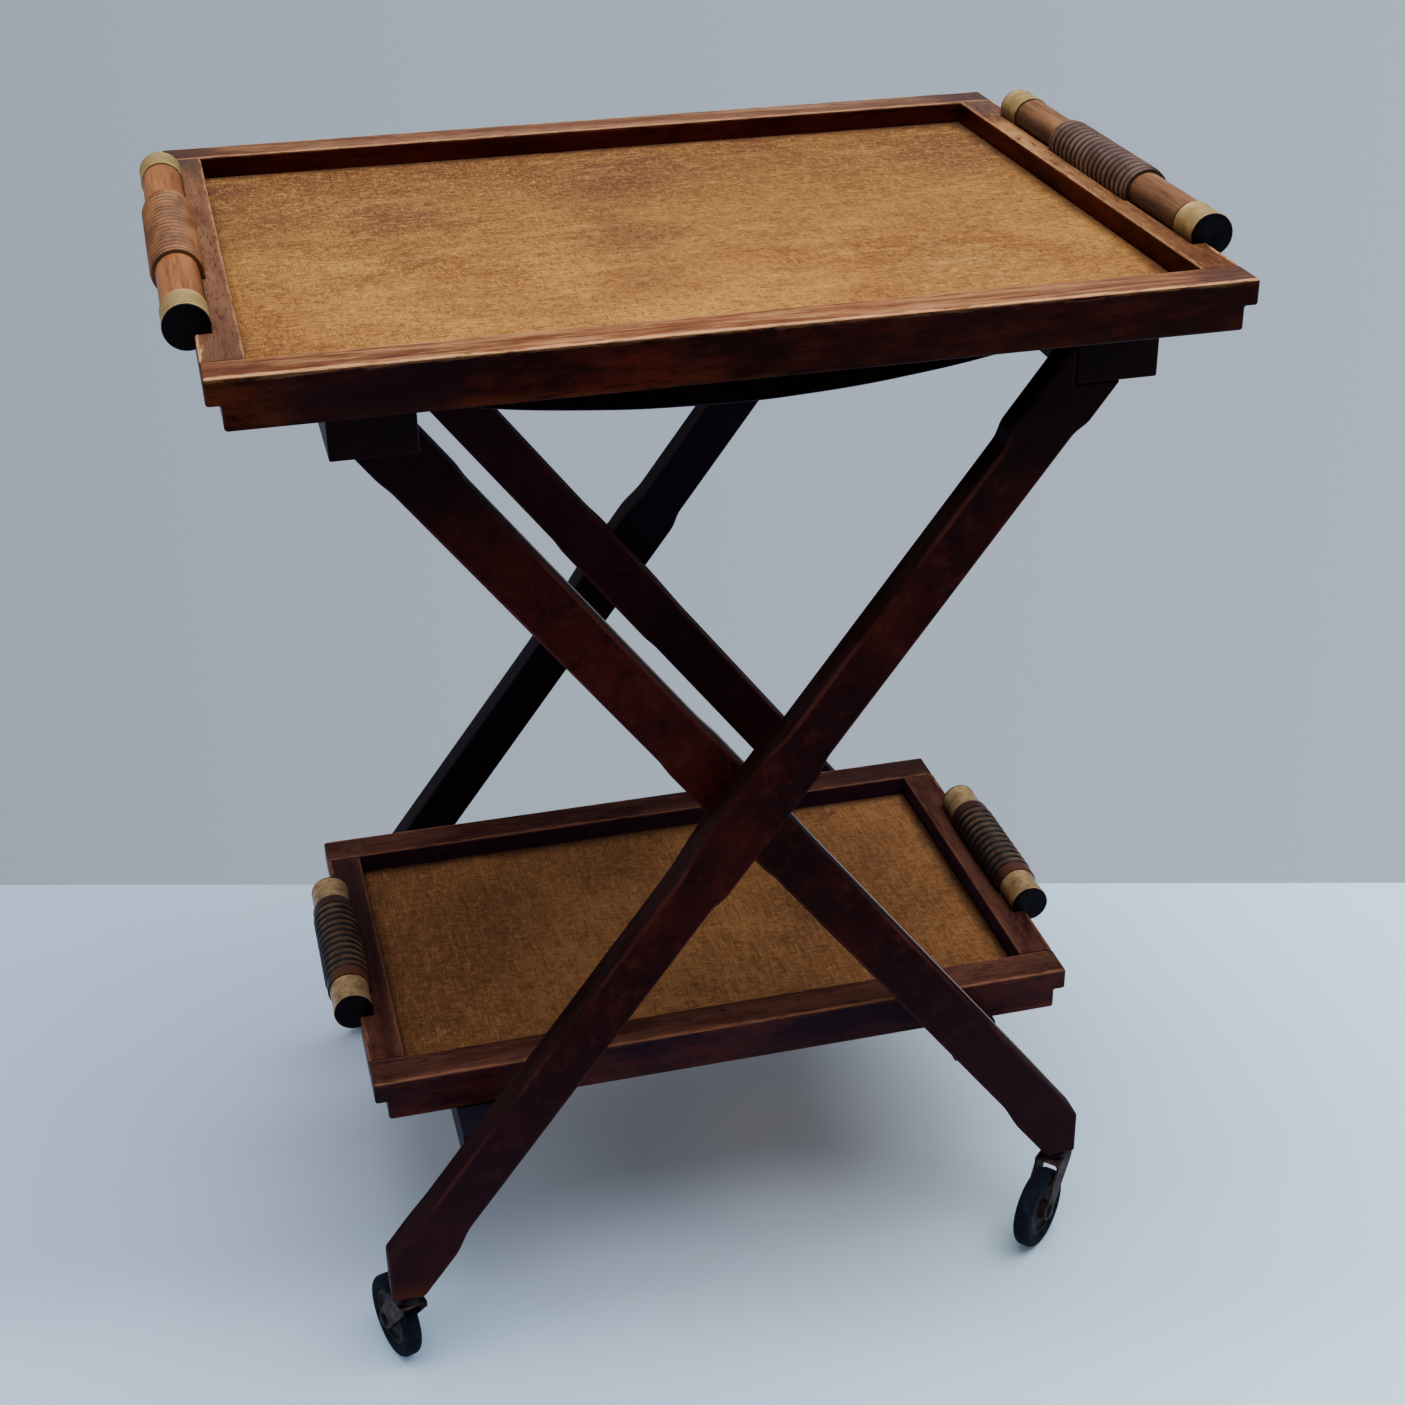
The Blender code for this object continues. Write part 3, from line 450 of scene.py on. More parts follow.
# Radius at which a rib turns pale as a painted highlight, then the colours of its groove (painted shade), flank and
# rubbed parts
GRIP_TONES = {
    "upper_tray_left": (0.0142, (40, 17, 7), (106, 63, 32), (148, 97, 56)),
    "upper_tray_right": (0.0145, (9, 4, 3), (74, 47, 34), (107, 75, 56)),
    "lower_tray": (0.0148, (15, 7, 6), (62, 38, 25), (98, 70, 46)),
}


def grip_wood(tray, side):
    """Turned ribs: rubbed and lighter on the crests, partly as a painted highlight, and dark in the grooves as
    painted shade.
    """
    stem = f"{tray.name}_{side}"
    start, groove, rib, pale = GRIP_TONES[stem if tray is UPPER else tray.name]
    paint = Paint(stem + "_grip_wood", 0.2)
    radius = (paint.x ** 2 + paint.y ** 2) ** 0.5
    height, end = abs(paint.z), tray.grip / 2
    run = end - tray.collar
    crest = radius.above(start, 0.0156).most(height.above(run, run + 0.0002))
    streak = paint.noise((600, 600, 60), 3, 0.6)
    patch = paint.noise((70, 70, 34), 4, 0.6)
    ribs = paint.layers(rib, [(patch.above(0.35, 0.68), pale), (streak.above(0.58, 0.72) * 0.4, groove)])
    # Below the crest radius the groove colour is painted shade; the crests carry a painted highlight, and a painted
    # shadow darkens the sleeve's ends.
    rows = [(crest, ribs), (height.above(end - 0.0009, end - 0.0002) * 0.8, groove)]
    if tray is LOWER:
        collar = height.above(end - 0.0098, end - 0.0092)
        front = paint.z * (1 if side == "right" else -1)
        # Painted shade on one lower side of each lower grip.
        if side == "left":
            painted_shade = ((paint.x * 0.82 - paint.y * 0.57) * (1 / DOWEL)).above(0.05, 0.5)
        else:
            painted_shade = paint.to_rail(0, 0.7, patch)
        rows += [
            (collar, (52, 26, 17)),
            (collar * front.above(-0.01, 0.01) * 0.8, (84, 42, 24)),
            (painted_shade * 0.8, (9, 5, 8)),
        ]
    return paint.finish(groove, rows, 0.42 + streak * 0.2, streak, 0.0002)


# Wood of the frame

def frame_wood(name, kind=None):
    """Very dark lacquer with a faint grain that shows red where it is thin; kind is foot, edge, pale or cold."""
    cold = kind == "cold"
    paint = Paint(name, 0.02)
    slope = paint.noise((12, 60, 12), 4, 0.55)
    streak = paint.noise((240, 500, 90), 3, 0.6)
    thin = paint.noise((9, 22, 9), 4, 0.6)
    mottle = paint.noise((70, 120, 70), 4, 0.7)
    rear = paint.y.above(0, 0.1)
    facing = paint.up.above(0.3, 0.58)
    rows = [
        (thin.above(0.4, 0.66), (51, 13, 8)),
        (slope.above(0.55, 0.72) * 0.5, (19, 3, 6)),
        (streak.above(0.6, 0.74) * 0.45, (62, 17, 10)),
        (mottle.above(0.52, 0.68) * 0.45, (66, 24, 15)),
        (mottle.above(0.48, 0.34) * 0.55, (16, 3, 6)),
        # Painted light: the rear legs take a lighter, purplish tone.
        (rear * 0.5, (37, 16, 27)),
    ]
    if cold:
        rows.append((0.85, (16, 9, 19)))
    # Painted sheen: the faces that look up get a greyer, less red colour with paler patches.
    rows += [
        (facing * 0.8, (34, 34, 38) if cold else (27, 10, 9)),
        (facing * slope.above(0.42, 0.72) * 0.35, (62, 42, 38)),
    ]
    # Painted highlight: a pale line along the back of the faces that look up.
    if kind == "pale":
        rows.append((facing * paint.y.above(-0.172, -0.167) * 0.85, (150, 132, 128)))
    # The rounded edges are rubbed, partly a painted highlight.
    if kind == "edge":
        rows.append((paint.noise((14, 60, 14), 5, 0.6).above(0.36, 0.64) * 0.75, (74, 34, 27)))
    rows.append((paint.z.above(0.32, 0.1, thin, 0.1) * 0.5, (41, 23, 29)))
    if kind == "foot":
        rows.append((paint.z.above(FOOT + 0.018, FOOT + 0.002, thin, 0.02) * 0.6, (78, 35, 17)))
    # Painted shade under the upper tray, with some grime: darker near the tops of the legs, lower at the back.
    high = (paint.z + rear * 0.07).above(0.585, 0.665, thin, 0.08)
    rows.append((high * 0.8, (15, 6, 9)))
    return paint.finish((27, 5, 6), rows, 0.34 + streak * 0.22 + facing * 0.34, streak * 0.6 + slope * 0.4, 0.0003)


def batten_wood():
    """Battens are darker than the legs, and bluish low down as a painted cool shade."""
    paint = Paint("batten_wood", 0.03)
    streak = paint.noise((420, 14, 420), 3, 0.6)
    cloud = paint.noise((40, 12, 40), 4, 0.6)
    return paint.finish((17, 5, 7), [
        (cloud.above(0.35, 0.7), (28, 9, 8)),
        (streak.above(0.58, 0.74) * 0.4, (43, 21, 20)),
        # Painted shade: the lower battens turn bluish.
        (paint.z.above(0.3, 0.2) * 0.6, (33, 32, 43)),
    ], 0.4 + streak * 0.2, streak, 0.0003)


# Cloth, metal and rubber

STRAW = {
    "upper_tray": Group(
        long=((120, 420, 1), 0.66), cross=((420, 110, 1), 0.64), blots=0.3, grit=(0.62, 0.6),
        deep=(92, 50, 24), mid=(150, 92, 40), gold=(204, 140, 60), stain=(100, 56, 38), pale=(214, 154, 82),
        shares=(0.5, 0.46, 0.4, 0.36)),
    "lower_tray": Group(
        long=((130, 900, 1), 0.7), cross=((900, 60, 1), 0.7), blots=0.5, grit=(0.25, 0.25),
        deep=(56, 30, 14), mid=(138, 88, 46), gold=(174, 116, 66), stain=(74, 40, 28), pale=(196, 142, 94),
        shares=(0.4, 0.5, 0.26, 0.4)),
}
# Stained places on the upper mat: x, y, radius and share
UPPER_STAINS = (
    (-0.171, 0.069, 0.06, 0.62), (0.01, 0.139, 0.08, 0.66),
    (-0.011, 0.008, 0.042, 0.45), (-0.125, -0.117, 0.045, 0.35),
    (0.245, 0.13, 0.08, 0.45), (-0.262, 0.17, 0.026, 0.95),
    (-0.16, 0.175, 0.07, 0.4), (-0.148, 0.096, 0.056, 0.42),
    (-0.09, 0.105, 0.06, 0.24), (-0.038, -0.022, 0.056, 0.38),
    (-0.026, -0.088, 0.05, 0.34), (-0.25, 0.12, 0.09, 0.35),
)
# Faded and darkened places on the upper mat: x, y, radius and a factor for each channel
UPPER_FADING = (
    (0.158, -0.122, 0.064, (1.19, 1.36, 1.38)),
    (-0.203, -0.032, 0.056, (1.12, 1.16, 1.18)),
    (-0.028, -0.1, 0.056, (0.84, 0.79, 0.88)),
    (-0.028, -0.01, 0.058, (0.84, 0.8, 0.9)),
    (-0.018, 0.084, 0.062, (0.84, 0.82, 0.94)),
    (-0.262, 0.06, 0.056, (0.82, 0.8, 0.88)),
    (0.032, -0.066, 0.046, (0.9, 0.85, 0.9)),
)


def weave(paint, pitch, blend, wobble=0):
    """Height of a plain weave, 0 between the threads and 1 on their backs."""
    warp, weft = ((place * (pi / pitch) + wobble).sine() for place in (paint.x, paint.y))
    over = (warp * weft).above(-blend, blend)
    return over * abs(weft) + (1 - over) * abs(warp)


def straw_cloth(tray):
    """Plain weave with uneven threads, flecks along them and old stains, with painted shade between the threads,
    along the rail walls and on the right of the upper mat.
    """
    upper = tray is UPPER
    look = STRAW[tray.name]
    deep, stain, pale = look.deep, look.stain, look.pale
    paint = Paint(tray.name + "_straw_cloth", 0.12)
    threads = weave(paint, 0.00125, 0.25, (paint.noise(55, 3) - 0.5) * 2.4)
    cloud = paint.noise(5, 5, 0.6)
    blot = paint.noise(20, 5, 0.66)
    mottle = paint.noise(210, 4, 0.65)
    along, across = (paint.noise(scale, 4, rough) for scale, rough in (look.long, look.cross))
    rows = [(cloud.above(0.36, 0.64), look.gold), (blot.above(0.5, 0.72) * look.blots, stain)]
    if upper:
        # Painted shade: the right rear part of the upper mat darker and browner.
        right_painted_shade = paint.x.above(-0.2, 0.06, blot, 0.3) * paint.y.above(-0.12, 0.06)
        rows.append((right_painted_shade * 0.34, (120, 72, 38)))
        rows.append((paint.y.above(-0.17, 0.22, blot, 0.1), (0.5, 0.48, 0.55), "MULTIPLY"))
        rows += [(paint.near(x, y, radius, 0.06) * share, stain) for x, y, radius, share in UPPER_STAINS]
    else:
        rows.append((paint.x.above(-0.02, -0.2, blot, 0.2), (0.76, 0.7, 0.7), "MULTIPLY"))
    grit = paint.noise((520, 640, 1), 3, 0.72)
    shares = look.shares
    rows += [
        (mottle.above(0.5, 0.68) * 0.34, deep),
        (mottle.above(0.48, 0.32) * 0.3, pale),
        (grit.above(0.51, 0.66) * look.grit[0], deep),
        (grit.above(0.47, 0.33) * look.grit[1], pale),
        (along.above(0.51, 0.64) * shares[0], deep),
        (across.above(0.52, 0.66) * shares[1], deep),
        (along.above(0.47, 0.34) * shares[2], pale),
        (across.above(0.46, 0.32) * shares[3], pale),
    ]
    if upper:
        band = paint.noise((16, 70, 1), 4, 0.62)
        rows += [(band.above(0.54, 0.68) * 0.24, stain), (band.above(0.46, 0.33) * 0.2, pale)]
    half_x, half_y = tray.x - END_RAIL, tray.y - LONG_RAIL
    inside = (half_x - paint.x).least(half_y - paint.y).least((paint.x + half_x) + 0.007)
    # Painted shade at the foot of the right, rear and left rail walls, and between the threads.
    painted_shade = inside.stray(blot, 0.02).above(0.014, 0, grit, 0.012)
    rows += [(painted_shade * 0.72, (54, 29, 18)), (threads.above(0.55, 0.05) * 0.4, (60, 34, 20))]
    if upper:
        rows += [(paint.near(x, y, radius, 0.05), tint, "MULTIPLY") for x, y, radius, tint in UPPER_FADING]
    return paint.finish(look.mid, rows, 0.72, threads * 0.8 + along * 0.5 + across * 0.4, 0.0007)


def webbing():
    paint = Paint("webbing", 0.1)
    threads = weave(paint, 0.0016, 0.3)
    fade = paint.noise(60, 4)
    # Painted shade between the threads.
    rows = [(fade.above(0.35, 0.7), (58, 45, 50)), (threads.above(0.5, 0.1) * 0.6, (10, 6, 7))]
    return paint.finish((38, 28, 38), rows, 0.85, threads, 0.0005)


def brass(tray):
    paint = Paint(tray.name + "_brass", metallic=0.75)
    haze = paint.noise(150, 5, 0.65)
    spots = paint.noise(420, 4, 0.7)
    light, dark, start, share = (190, 156, 106), (148, 112, 74), 0.54, 0.85
    if tray is UPPER:
        light, dark, start, share = (185, 153, 97), (162, 128, 73), 0.62, 0.5
    return paint.finish(light, [
        (haze.above(0.35, 0.7), dark),
        (spots.above(start, 0.72) * share, (80, 58, 38)),
        # Painted shade on the side that faces the rail.
        (paint.to_rail(0.45, 1, haze) * 0.75, (52, 30, 20)),
    ], 0.4 + haze * 0.25, haze * 0.7 + spots * 0.3, 0.0003)


def black_cap():
    paint = Paint("black_cap", 0.06)
    haze = paint.noise(90, 4, 0.6)
    rows = [(haze.above(0.4, 0.7), (13, 4, 9))]
    return paint.finish((5, 2, 5), rows, 0.38 + haze * 0.2, paint.noise(500, 3), 0.0002)


def dull_steel(name, light, dark, rust, metallic=0.5):
    paint = Paint(name, 0.06, metallic)
    haze = paint.noise(120, 5, 0.6)
    spots = paint.noise(330, 5, 0.7)
    rows = [(haze.above(0.35, 0.7), light), (spots.above(0.52, 0.68) * 0.7, rust)]
    return paint.finish(dark, rows, 0.42 + spots * 0.3, spots, 0.0003)


def rubber():
    paint = Paint("rubber", 0.03)
    dust = paint.noise(160, 5, 0.65)
    fine = paint.noise(900, 3)
    rows = [(dust.above(0.45, 0.75), (33, 34, 44))]
    return paint.finish((17, 19, 27), rows, 0.62 + dust * 0.2, fine * 0.6 + dust * 0.4, 0.0003)


# Mesh helpers

def add(name, mesh, looks, body, node, matrix=Matrix()):
    """Links a finished piece, gives it its looks, ties it to its body and hides the CAD part it stands for."""
    item = placed(name, mesh)
    item.matrix_world = matrix
    looks = looks if isinstance(looks, tuple) else (looks,)
    while len(item.data.materials) < len(looks):
        item.data.materials.append(None)
    for index, look in enumerate(looks):
        item.data.materials[index] = look
    if body:
        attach(item, body)
    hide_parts(node)
    return item


def applied(item):
    bpy.context.view_layer.update()
    graph = bpy.context.evaluated_depsgraph_get()
    mesh = bpy.data.meshes.new_from_object(item.evaluated_get(graph))
    bpy.data.objects.remove(item, do_unlink=True)
    return mesh


def rounded(mesh, width, segments=3, angle=35, own_edges=False):
    """The mesh with its sharp edges rounded and even shading on its flats; the edges may have own looks."""
    item = placed("working", mesh)
    bevel = item.modifiers.new("round", "BEVEL")
    setup(bevel, width=width, segments=segments, limit_method="ANGLE", angle_limit=radians(angle))
    if own_edges:
        mesh.materials.append(None)
        mesh.materials.append(None)
        bevel.material = 1
    mesh.shade_smooth()
    setup(item.modifiers.new("shade", "WEIGHTED_NORMAL"), weight=90)
    return applied(item)


def carved(mesh, cutters):
    """The mesh with the cutter meshes taken away."""
    item = placed("working", mesh)
    tools = [placed("tool", cutter) for cutter in cutters]
    for tool in tools:
        setup(item.modifiers.new("cut", "BOOLEAN"), operation="DIFFERENCE", solver="EXACT", object=tool)
    result = applied(item)
    for tool in tools:
        bpy.data.objects.remove(tool, do_unlink=True)
    return result


def mesh_from(vertices, faces):
    mesh = bpy.data.meshes.new("piece")
    mesh.from_pydata(vertices, [], faces)
    mesh.validate()
    return mesh


def closed(solid):
    """A mesh from the solid, with all faces turned outward."""
    bmesh.ops.recalc_face_normals(solid, faces=solid.faces)
    mesh = bpy.data.meshes.new("piece")
    solid.to_mesh(mesh)
    solid.free()
    return mesh


def smooth(mesh, angle):
    mesh.shade_smooth()
    mesh.set_sharp_from_angle(angle=radians(angle))
    return mesh


def moved(mesh, matrix):
    mesh.transform(matrix)
    return mesh


def at(x, y, z):
    return Matrix.Translation((x, y, z))


def turn(angle, axis):
    return Matrix.Rotation(radians(angle), 4, axis)


def lathe(profile, sides=56, wave=0, angle=40):
    """Turns (radius, height) points about Z, from top to bottom; wave is a hand-made unevenness."""
    solid = bmesh.new()
    rings = []
    for radius, height in profile:
        ring = []
        for side in range(sides if radius else 1):
            around = 2 * pi * side / sides
            reach = radius
            if wave and radius:
                reach += wave * noise.noise(Vector((cos(around) * 2, sin(around) * 2, height * 90)))
            ring.append(solid.verts.new((reach * cos(around), reach * sin(around), height)))
        rings.append(ring)
    pairs = list(zip(rings, rings[1:]))
    if len(rings[0]) > 1:
        pairs.append((rings[-1], rings[0]))
    for upper, lower in pairs:
        for side in range(sides):
            after = (side + 1) % sides
            corners = (upper, side), (lower, side), (lower, after), (upper, after)
            solid.faces.new(list(dict.fromkeys(ring[spot % len(ring)] for ring, spot in corners)))
    return smooth(closed(solid), angle)


def arc(centre, radius, start, stop, steps=4):
    """(radius, height) points on a small arc, angles in degrees."""
    angles = [radians(start + (stop - start) * step / steps) for step in range(steps + 1)]
    return [(centre[0] + radius * cos(angle), centre[1] + radius * sin(angle)) for angle in angles]


def mirrored(side, middle=()):
    """A profile that goes down to the middle and back upside down."""
    return [*side, *middle, *((radius, -height) for radius, height in reversed(side))]


def plate(points, thickness):
    """A flat outline in the XZ plane, thick along Y."""
    solid = bmesh.new()
    front, back = ([solid.verts.new((x, y, z)) for x, z in points] for y in (-thickness / 2, thickness / 2))
    solid.faces.new(front)
    solid.faces.new(back[::-1])
    for index in range(len(points)):
        after = (index + 1) % len(points)
        solid.faces.new((front[index], back[index], back[after], front[after]))
    return closed(solid)


def block(low, high):
    solid = bmesh.new()
    bmesh.ops.create_cube(solid, size=1)
    bmesh.ops.scale(solid, vec=high - low, verts=solid.verts)
    bmesh.ops.translate(solid, vec=(low + high) / 2, verts=solid.verts)
    return closed(solid)


# Trays

LONG_RAIL_ROUND, END_RAIL_ROUND = 0.0019, 0.0016
COVE_CLEARANCE, GRIP_COVE = 0.0004, 0.016
MAT_CELL, MAT_CLEARANCE = 0.004, 0.0004
MAT_HEM, MAT_HEM_DROP = 0.006, 0.0003
RIB_FOOT, RIB_RISE, COLLAR = 0.0133, 0.0024, 0.0149
CAP, CAP_RADIUS, CAP_EASE = 0.0014, 0.0134, 0.0008
BORE = DOWEL + 0.0001
HAND_MADE = 0.00012


def handle_matrix(tray, side):
    facing = Matrix() if side == "right" else turn(180, "Z")
    spot = at(tray.x + HANDLE_OUTSET, 0, tray.top + HANDLE_RISE)
    return facing @ spot @ turn(90, "X")


def rod(length, radius):
    """Profile of a plain cylinder about the origin, with some clearance at its ends."""
    end = length / 2 + COVE_CLEARANCE
    return mirrored([(0, end), (radius, end)])


def make_rails(tray):
    name = tray.name
    top, low = tray.top, tray.top - RAIL_DEPTH
    step = top - RIM_HEIGHT
    half, inset = tray.x, tray.x - END_NOTCH
    corner = [(half, top), (half, step), (inset, step), (inset, low)]
    points = corner + [(-x, z) for x, z in reversed(corner)]
    long_wood = tray_wood(tray, "x", "long")
    for side, sign in (("front", -1), ("rear", 1)):
        mesh = moved(rounded(plate(points, LONG_RAIL), LONG_RAIL_ROUND), at(0, sign * (tray.y - LONG_RAIL / 2), 0))
        node = f"{name}_rail_{side}"
        add(node + "_worn", mesh, long_wood, name, node)
    for side in ("left", "right"):
        node = f"{name}_rail_{side}"
        axis = handle_matrix(tray, side)
        coves = [moved(lathe(rod(tray.handle, FERRULE + COVE_CLEARANCE)), axis),
                 moved(lathe(rod(tray.grip, GRIP_COVE)), axis)]
        mesh = smooth(carved(rounded(block(*sized_from(node)), END_RAIL_ROUND), coves), 32)
        add(node + "_worn", mesh, tray_wood(tray, "y", side), name, node)


def make_mat(tray):
    """Cloth laid on the board: a fine sheet that is not quite flat and sinks a little at its edge."""
    name = tray.name
    node = name + "_woven_mat"
    low, high = sized_from(node)
    wide, deep = high.x - low.x, high.y - low.y
    cells_x, cells_y = int(wide / MAT_CELL), int(deep / MAT_CELL)
    points, faces = [], []
    for layer in (0, 1):
        for row in range(cells_y + 1):
            for column in range(cells_x + 1):
                x = low.x + MAT_CLEARANCE + (wide - 2 * MAT_CLEARANCE) * column / cells_x
                y = low.y + MAT_CLEARANCE + (deep - 2 * MAT_CLEARANCE) * row / cells_y
                edge = min(x - low.x, high.x - x, y - low.y, high.y - y)
                lift = 0.00035 * noise.noise(Vector((x * 9, y * 9, 3)))
                lift += 0.00018 * noise.noise(Vector((x * 60, y * 60, 8)))
                hem = MAT_HEM_DROP * max(0, 1 - edge / MAT_HEM)
                points.append((x, y, high.z - MAT_CLEARANCE + lift - hem if layer == 0 else low.z))
    stride, size = cells_x + 1, (cells_x + 1) * (cells_y + 1)
    for first in range(size - stride):
        if (first + 1) % stride:
            corners = first, first + 1, first + stride + 1, first + stride
            faces += [corners, tuple(size + corners[index] for index in (0, 3, 2, 1))]
    rim = [*range(stride), *range(2 * stride - 1, size, stride),
           *range(size - 2, size - stride - 1, -1), *range(size - 2 * stride, 0, -stride)]
    for first, after in zip(rim, rim[1:] + rim[:1]):
        faces.append((after, first, size + first, size + after))
    cloth = add(name + "_cloth", smooth(mesh_from(points, faces), 50), straw_cloth(tray), name, node)


def grip_points(tray):
    """A sleeve with round turned ribs between two collars with eased edges."""
    half = tray.grip / 2
    run = half - tray.collar
    pitch = 2 * run / tray.ribs
    ease, groove, rib_steps = 0.0005, 0.0002, 8
    side = [(BORE, half), *arc((COLLAR - ease, half - ease), ease, 90, 0, 3), (COLLAR, run + groove)]
    ribs = []
    for rib in range(tray.ribs):
        last_rib = rib == tray.ribs - 1
        for step in range(rib_steps + 1 if last_rib else rib_steps):
            share = step / rib_steps
            bulge = max(0, 1 - (2 * share - 1) ** 2) ** 0.7
            ribs.append((RIB_FOOT + RIB_RISE * bulge, run - (rib + share) * pitch))
    return mirrored(side, ribs)


def ferrule_points():
    """A thin tube with a rolled bead at each mouth."""
    half = FERRULE_LENGTH / 2
    bead = 0.00045
    outer = FERRULE - 0.0002
    wall = outer - 0.0001
    side = [(BORE, half), *arc((FERRULE - bead, half - bead), bead, 90, -40, 5)]
    return mirrored(side + [(wall, half - 3 * bead), (wall, 0.3 * half)], [(outer, 0)])


def cap_points(end):
    """A low round cap that closes the bar's end."""
    points = [(0, end - 0.0002), (0.0015, end - 0.00025), (0.0024, end - 0.0001), (0.011, end)]
    points += arc((CAP_RADIUS - CAP_EASE, end - CAP_EASE), CAP_EASE, 90, 0)
    return points + [(CAP_RADIUS, end - CAP), (0, end - CAP)]


def make_handles(tray, metal, cap_paint):
    name = tray.name
    end = tray.handle / 2
    stop = end - CAP
    middle = stop - GAP - FERRULE_LENGTH / 2
    steps = 24
    bar = [(0, stop)] + [(DOWEL, stop - 2 * stop * step / steps) for step in range(steps + 1)] + [(0, -stop)]
    for side in ("left", "right"):
        axis = handle_matrix(tray, side)
        stem = f"{name}_{side}"
        node = stem + "_handle_bar"
        grip = grip_wood(tray, side)
        add(stem + "_dowel", lathe(bar, 56, HAND_MADE), dowel_wood(tray, side), name, node, axis)
        add(stem + "_ribbed_grip", lathe(grip_points(tray), 64, HAND_MADE, 50), grip, name,
            stem + "_handle_grip", axis)
        for sign, which in ((1, "a"), (-1, "b")):
            flip = Matrix() if sign > 0 else turn(180, "X")
            add(f"{stem}_end_disc_{which}", lathe(cap_points(end)), cap_paint, name, node, axis @ flip)
            front = (sign > 0) == (side == "right")
            ring = stem + ("_ferrule_front" if front else "_ferrule_rear")
            add(ring + "_tube", lathe(ferrule_points(), 56, 0.00015), metal, name, ring,
                axis @ at(0, 0, sign * middle))


# Frame

LEG_SHAPES = {
    "outer": Group(width=0.0325, pad=0.0032, end=0.2009),
    "inner": Group(width=0.035, pad=0.0012, end=0.1878),
}
PAD_BLEND, PAD_REACH, TOP_PAD, FOOT_PAD, FOOT_BLEND = 0.015, 0.065, 0.029, 0.036, 0.028
FLAT_ABOVE_TOP_EDGE, FLAT_BELOW_TOP_EDGE, FLAT_LOW_EDGE = 0.039, 0.014, 0.048
FOOT_INNER, FOOT_OUTER = 0.0205, 0.0172
BLEND_STEPS = 10
LEG_ROUND, BATTEN_ROUND = 0.0021, 0.0014
STRAP_THICKNESS, STRAP_TAB, STRAP_SAG = 0.0015, 0.018, 0.02
STRAP_ROWS, STRAP_STEPS = 10, 48


def leg_edge(narrow, pad, foot, top_end, foot_end, flat_below, flat_above):
    foot_pad = foot_end + FOOT_PAD
    top_pad = top_end - TOP_PAD
    changes = [
        (foot_pad, foot_pad + FOOT_BLEND, foot, narrow),
        (-PAD_REACH, -flat_below, narrow, pad),
        (flat_above, PAD_REACH, pad, narrow),
        (top_pad - PAD_BLEND, top_pad, narrow, pad),
    ]
    edge = []
    for start, stop, before, after in changes:
        for step in range(BLEND_STEPS + 1):
            share = step / BLEND_STEPS
            half = before + (after - before) * (1 - cos(pi * share)) / 2
            edge.append((start + (stop - start) * share, half))
    return edge


def leg_points(shape):
    """Outline of a leg that rises to the right, about the pivot, with its level foot and notched top."""
    sine, cosine = sin(LEG_ANGLE), cos(LEG_ANGLE)
    rise, fall = TOP_CUT - PIVOT, FOOT - PIVOT
    narrow = shape.width / 2
    pad = narrow + shape.pad
    foot_end = (fall + FOOT_INNER * cosine) / sine
    upper_end, lower_end = (rise - pad * cosine) / sine, (rise + pad * cosine) / sine
    upper = leg_edge(narrow, pad, FOOT_OUTER, upper_end, foot_end, FLAT_BELOW_TOP_EDGE, FLAT_ABOVE_TOP_EDGE)
    lower = leg_edge(narrow, pad, FOOT_INNER, lower_end, foot_end, FLAT_LOW_EDGE, FLAT_LOW_EDGE)
    upper.append(((shape.end + pad * sine) / cosine, pad))
    lower.append((lower_end, pad))
    trim_x = fall / tan(LEG_ANGLE) + FOOT_TRIM
    along = (trim_x + FOOT_OUTER * sine) / cosine
    points = [(foot_end * cosine + FOOT_INNER * sine, fall)]
    points += [(distance * cosine + half * sine, distance * sine - half * cosine) for distance, half in lower]
    points.append((shape.end, rise))
    points += [(distance * cosine - half * sine, distance * sine + half * cosine)
               for distance, half in reversed(upper)]
    return points + [(trim_x, along * sine + FOOT_OUTER * cosine), (trim_x, fall)]


def make_legs():
    dark = frame_wood("frame_wood_legs")
    footed = frame_wood("frame_wood_worn_foot", "foot")
    # Rubbed edges that are partly a painted highlight; the pale back edge is a painted highlight.
    rubbed = frame_wood("frame_wood_edges", "edge")
    pale = frame_wood("frame_wood_pale_back_edge", "pale")
    cold = frame_wood("frame_wood_cold", "cold")
    for node, wood, edge in (("outer_leg_front", footed, rubbed), ("outer_leg_rear", cold, cold),
                             ("inner_leg_front", pale, rubbed), ("inner_leg_rear", dark, rubbed)):
        shape, _, where = node.split("_")
        mesh = plate(leg_points(LEG_SHAPES[shape]), LEG_THICKNESS)
        reach = FRAME_FRONT - LEG_THICKNESS / 2
        if shape == "inner":
            mesh.transform(Matrix.Scale(-1, 4, (1, 0, 0)))
            mesh.flip_normals()
            reach -= LEG_THICKNESS + LEG_GAP
        spot = at(0, -reach if where == "front" else reach, PIVOT)
        mesh = moved(rounded(mesh, LEG_ROUND, 3, 20, True), spot)
        add(node + "_shaped", mesh, (wood, edge), shape + "_frame", node)
    batten = batten_wood()
    for node in ("outer_top_batten", "inner_top_batten", "outer_lower_batten", "inner_lower_batten"):
        mesh = rounded(block(*sized_from(node)), BATTEN_ROUND)
        add(node + "_eased", mesh, batten, node[:5] + "_frame", node)


def strap_line(left, right, top):
    """Side view of a slack band whose ends are turned up against the battens."""
    bend, corner, dip = top - STRAP_TAB, 0.003, 0.0004
    ends = [(0, top), (0, bend + corner), (corner * 0.3, bend + corner * 0.3), (corner, bend - dip)]
    line = [(left + x, z) for x, z in ends]
    for step in range(1, STRAP_STEPS):
        share = step / STRAP_STEPS
        line.append((left + (right - left) * share, bend - STRAP_SAG * (1 - (2 * share - 1) ** 2)))
    return line + [(right - x, z) for x, z in reversed(ends)]


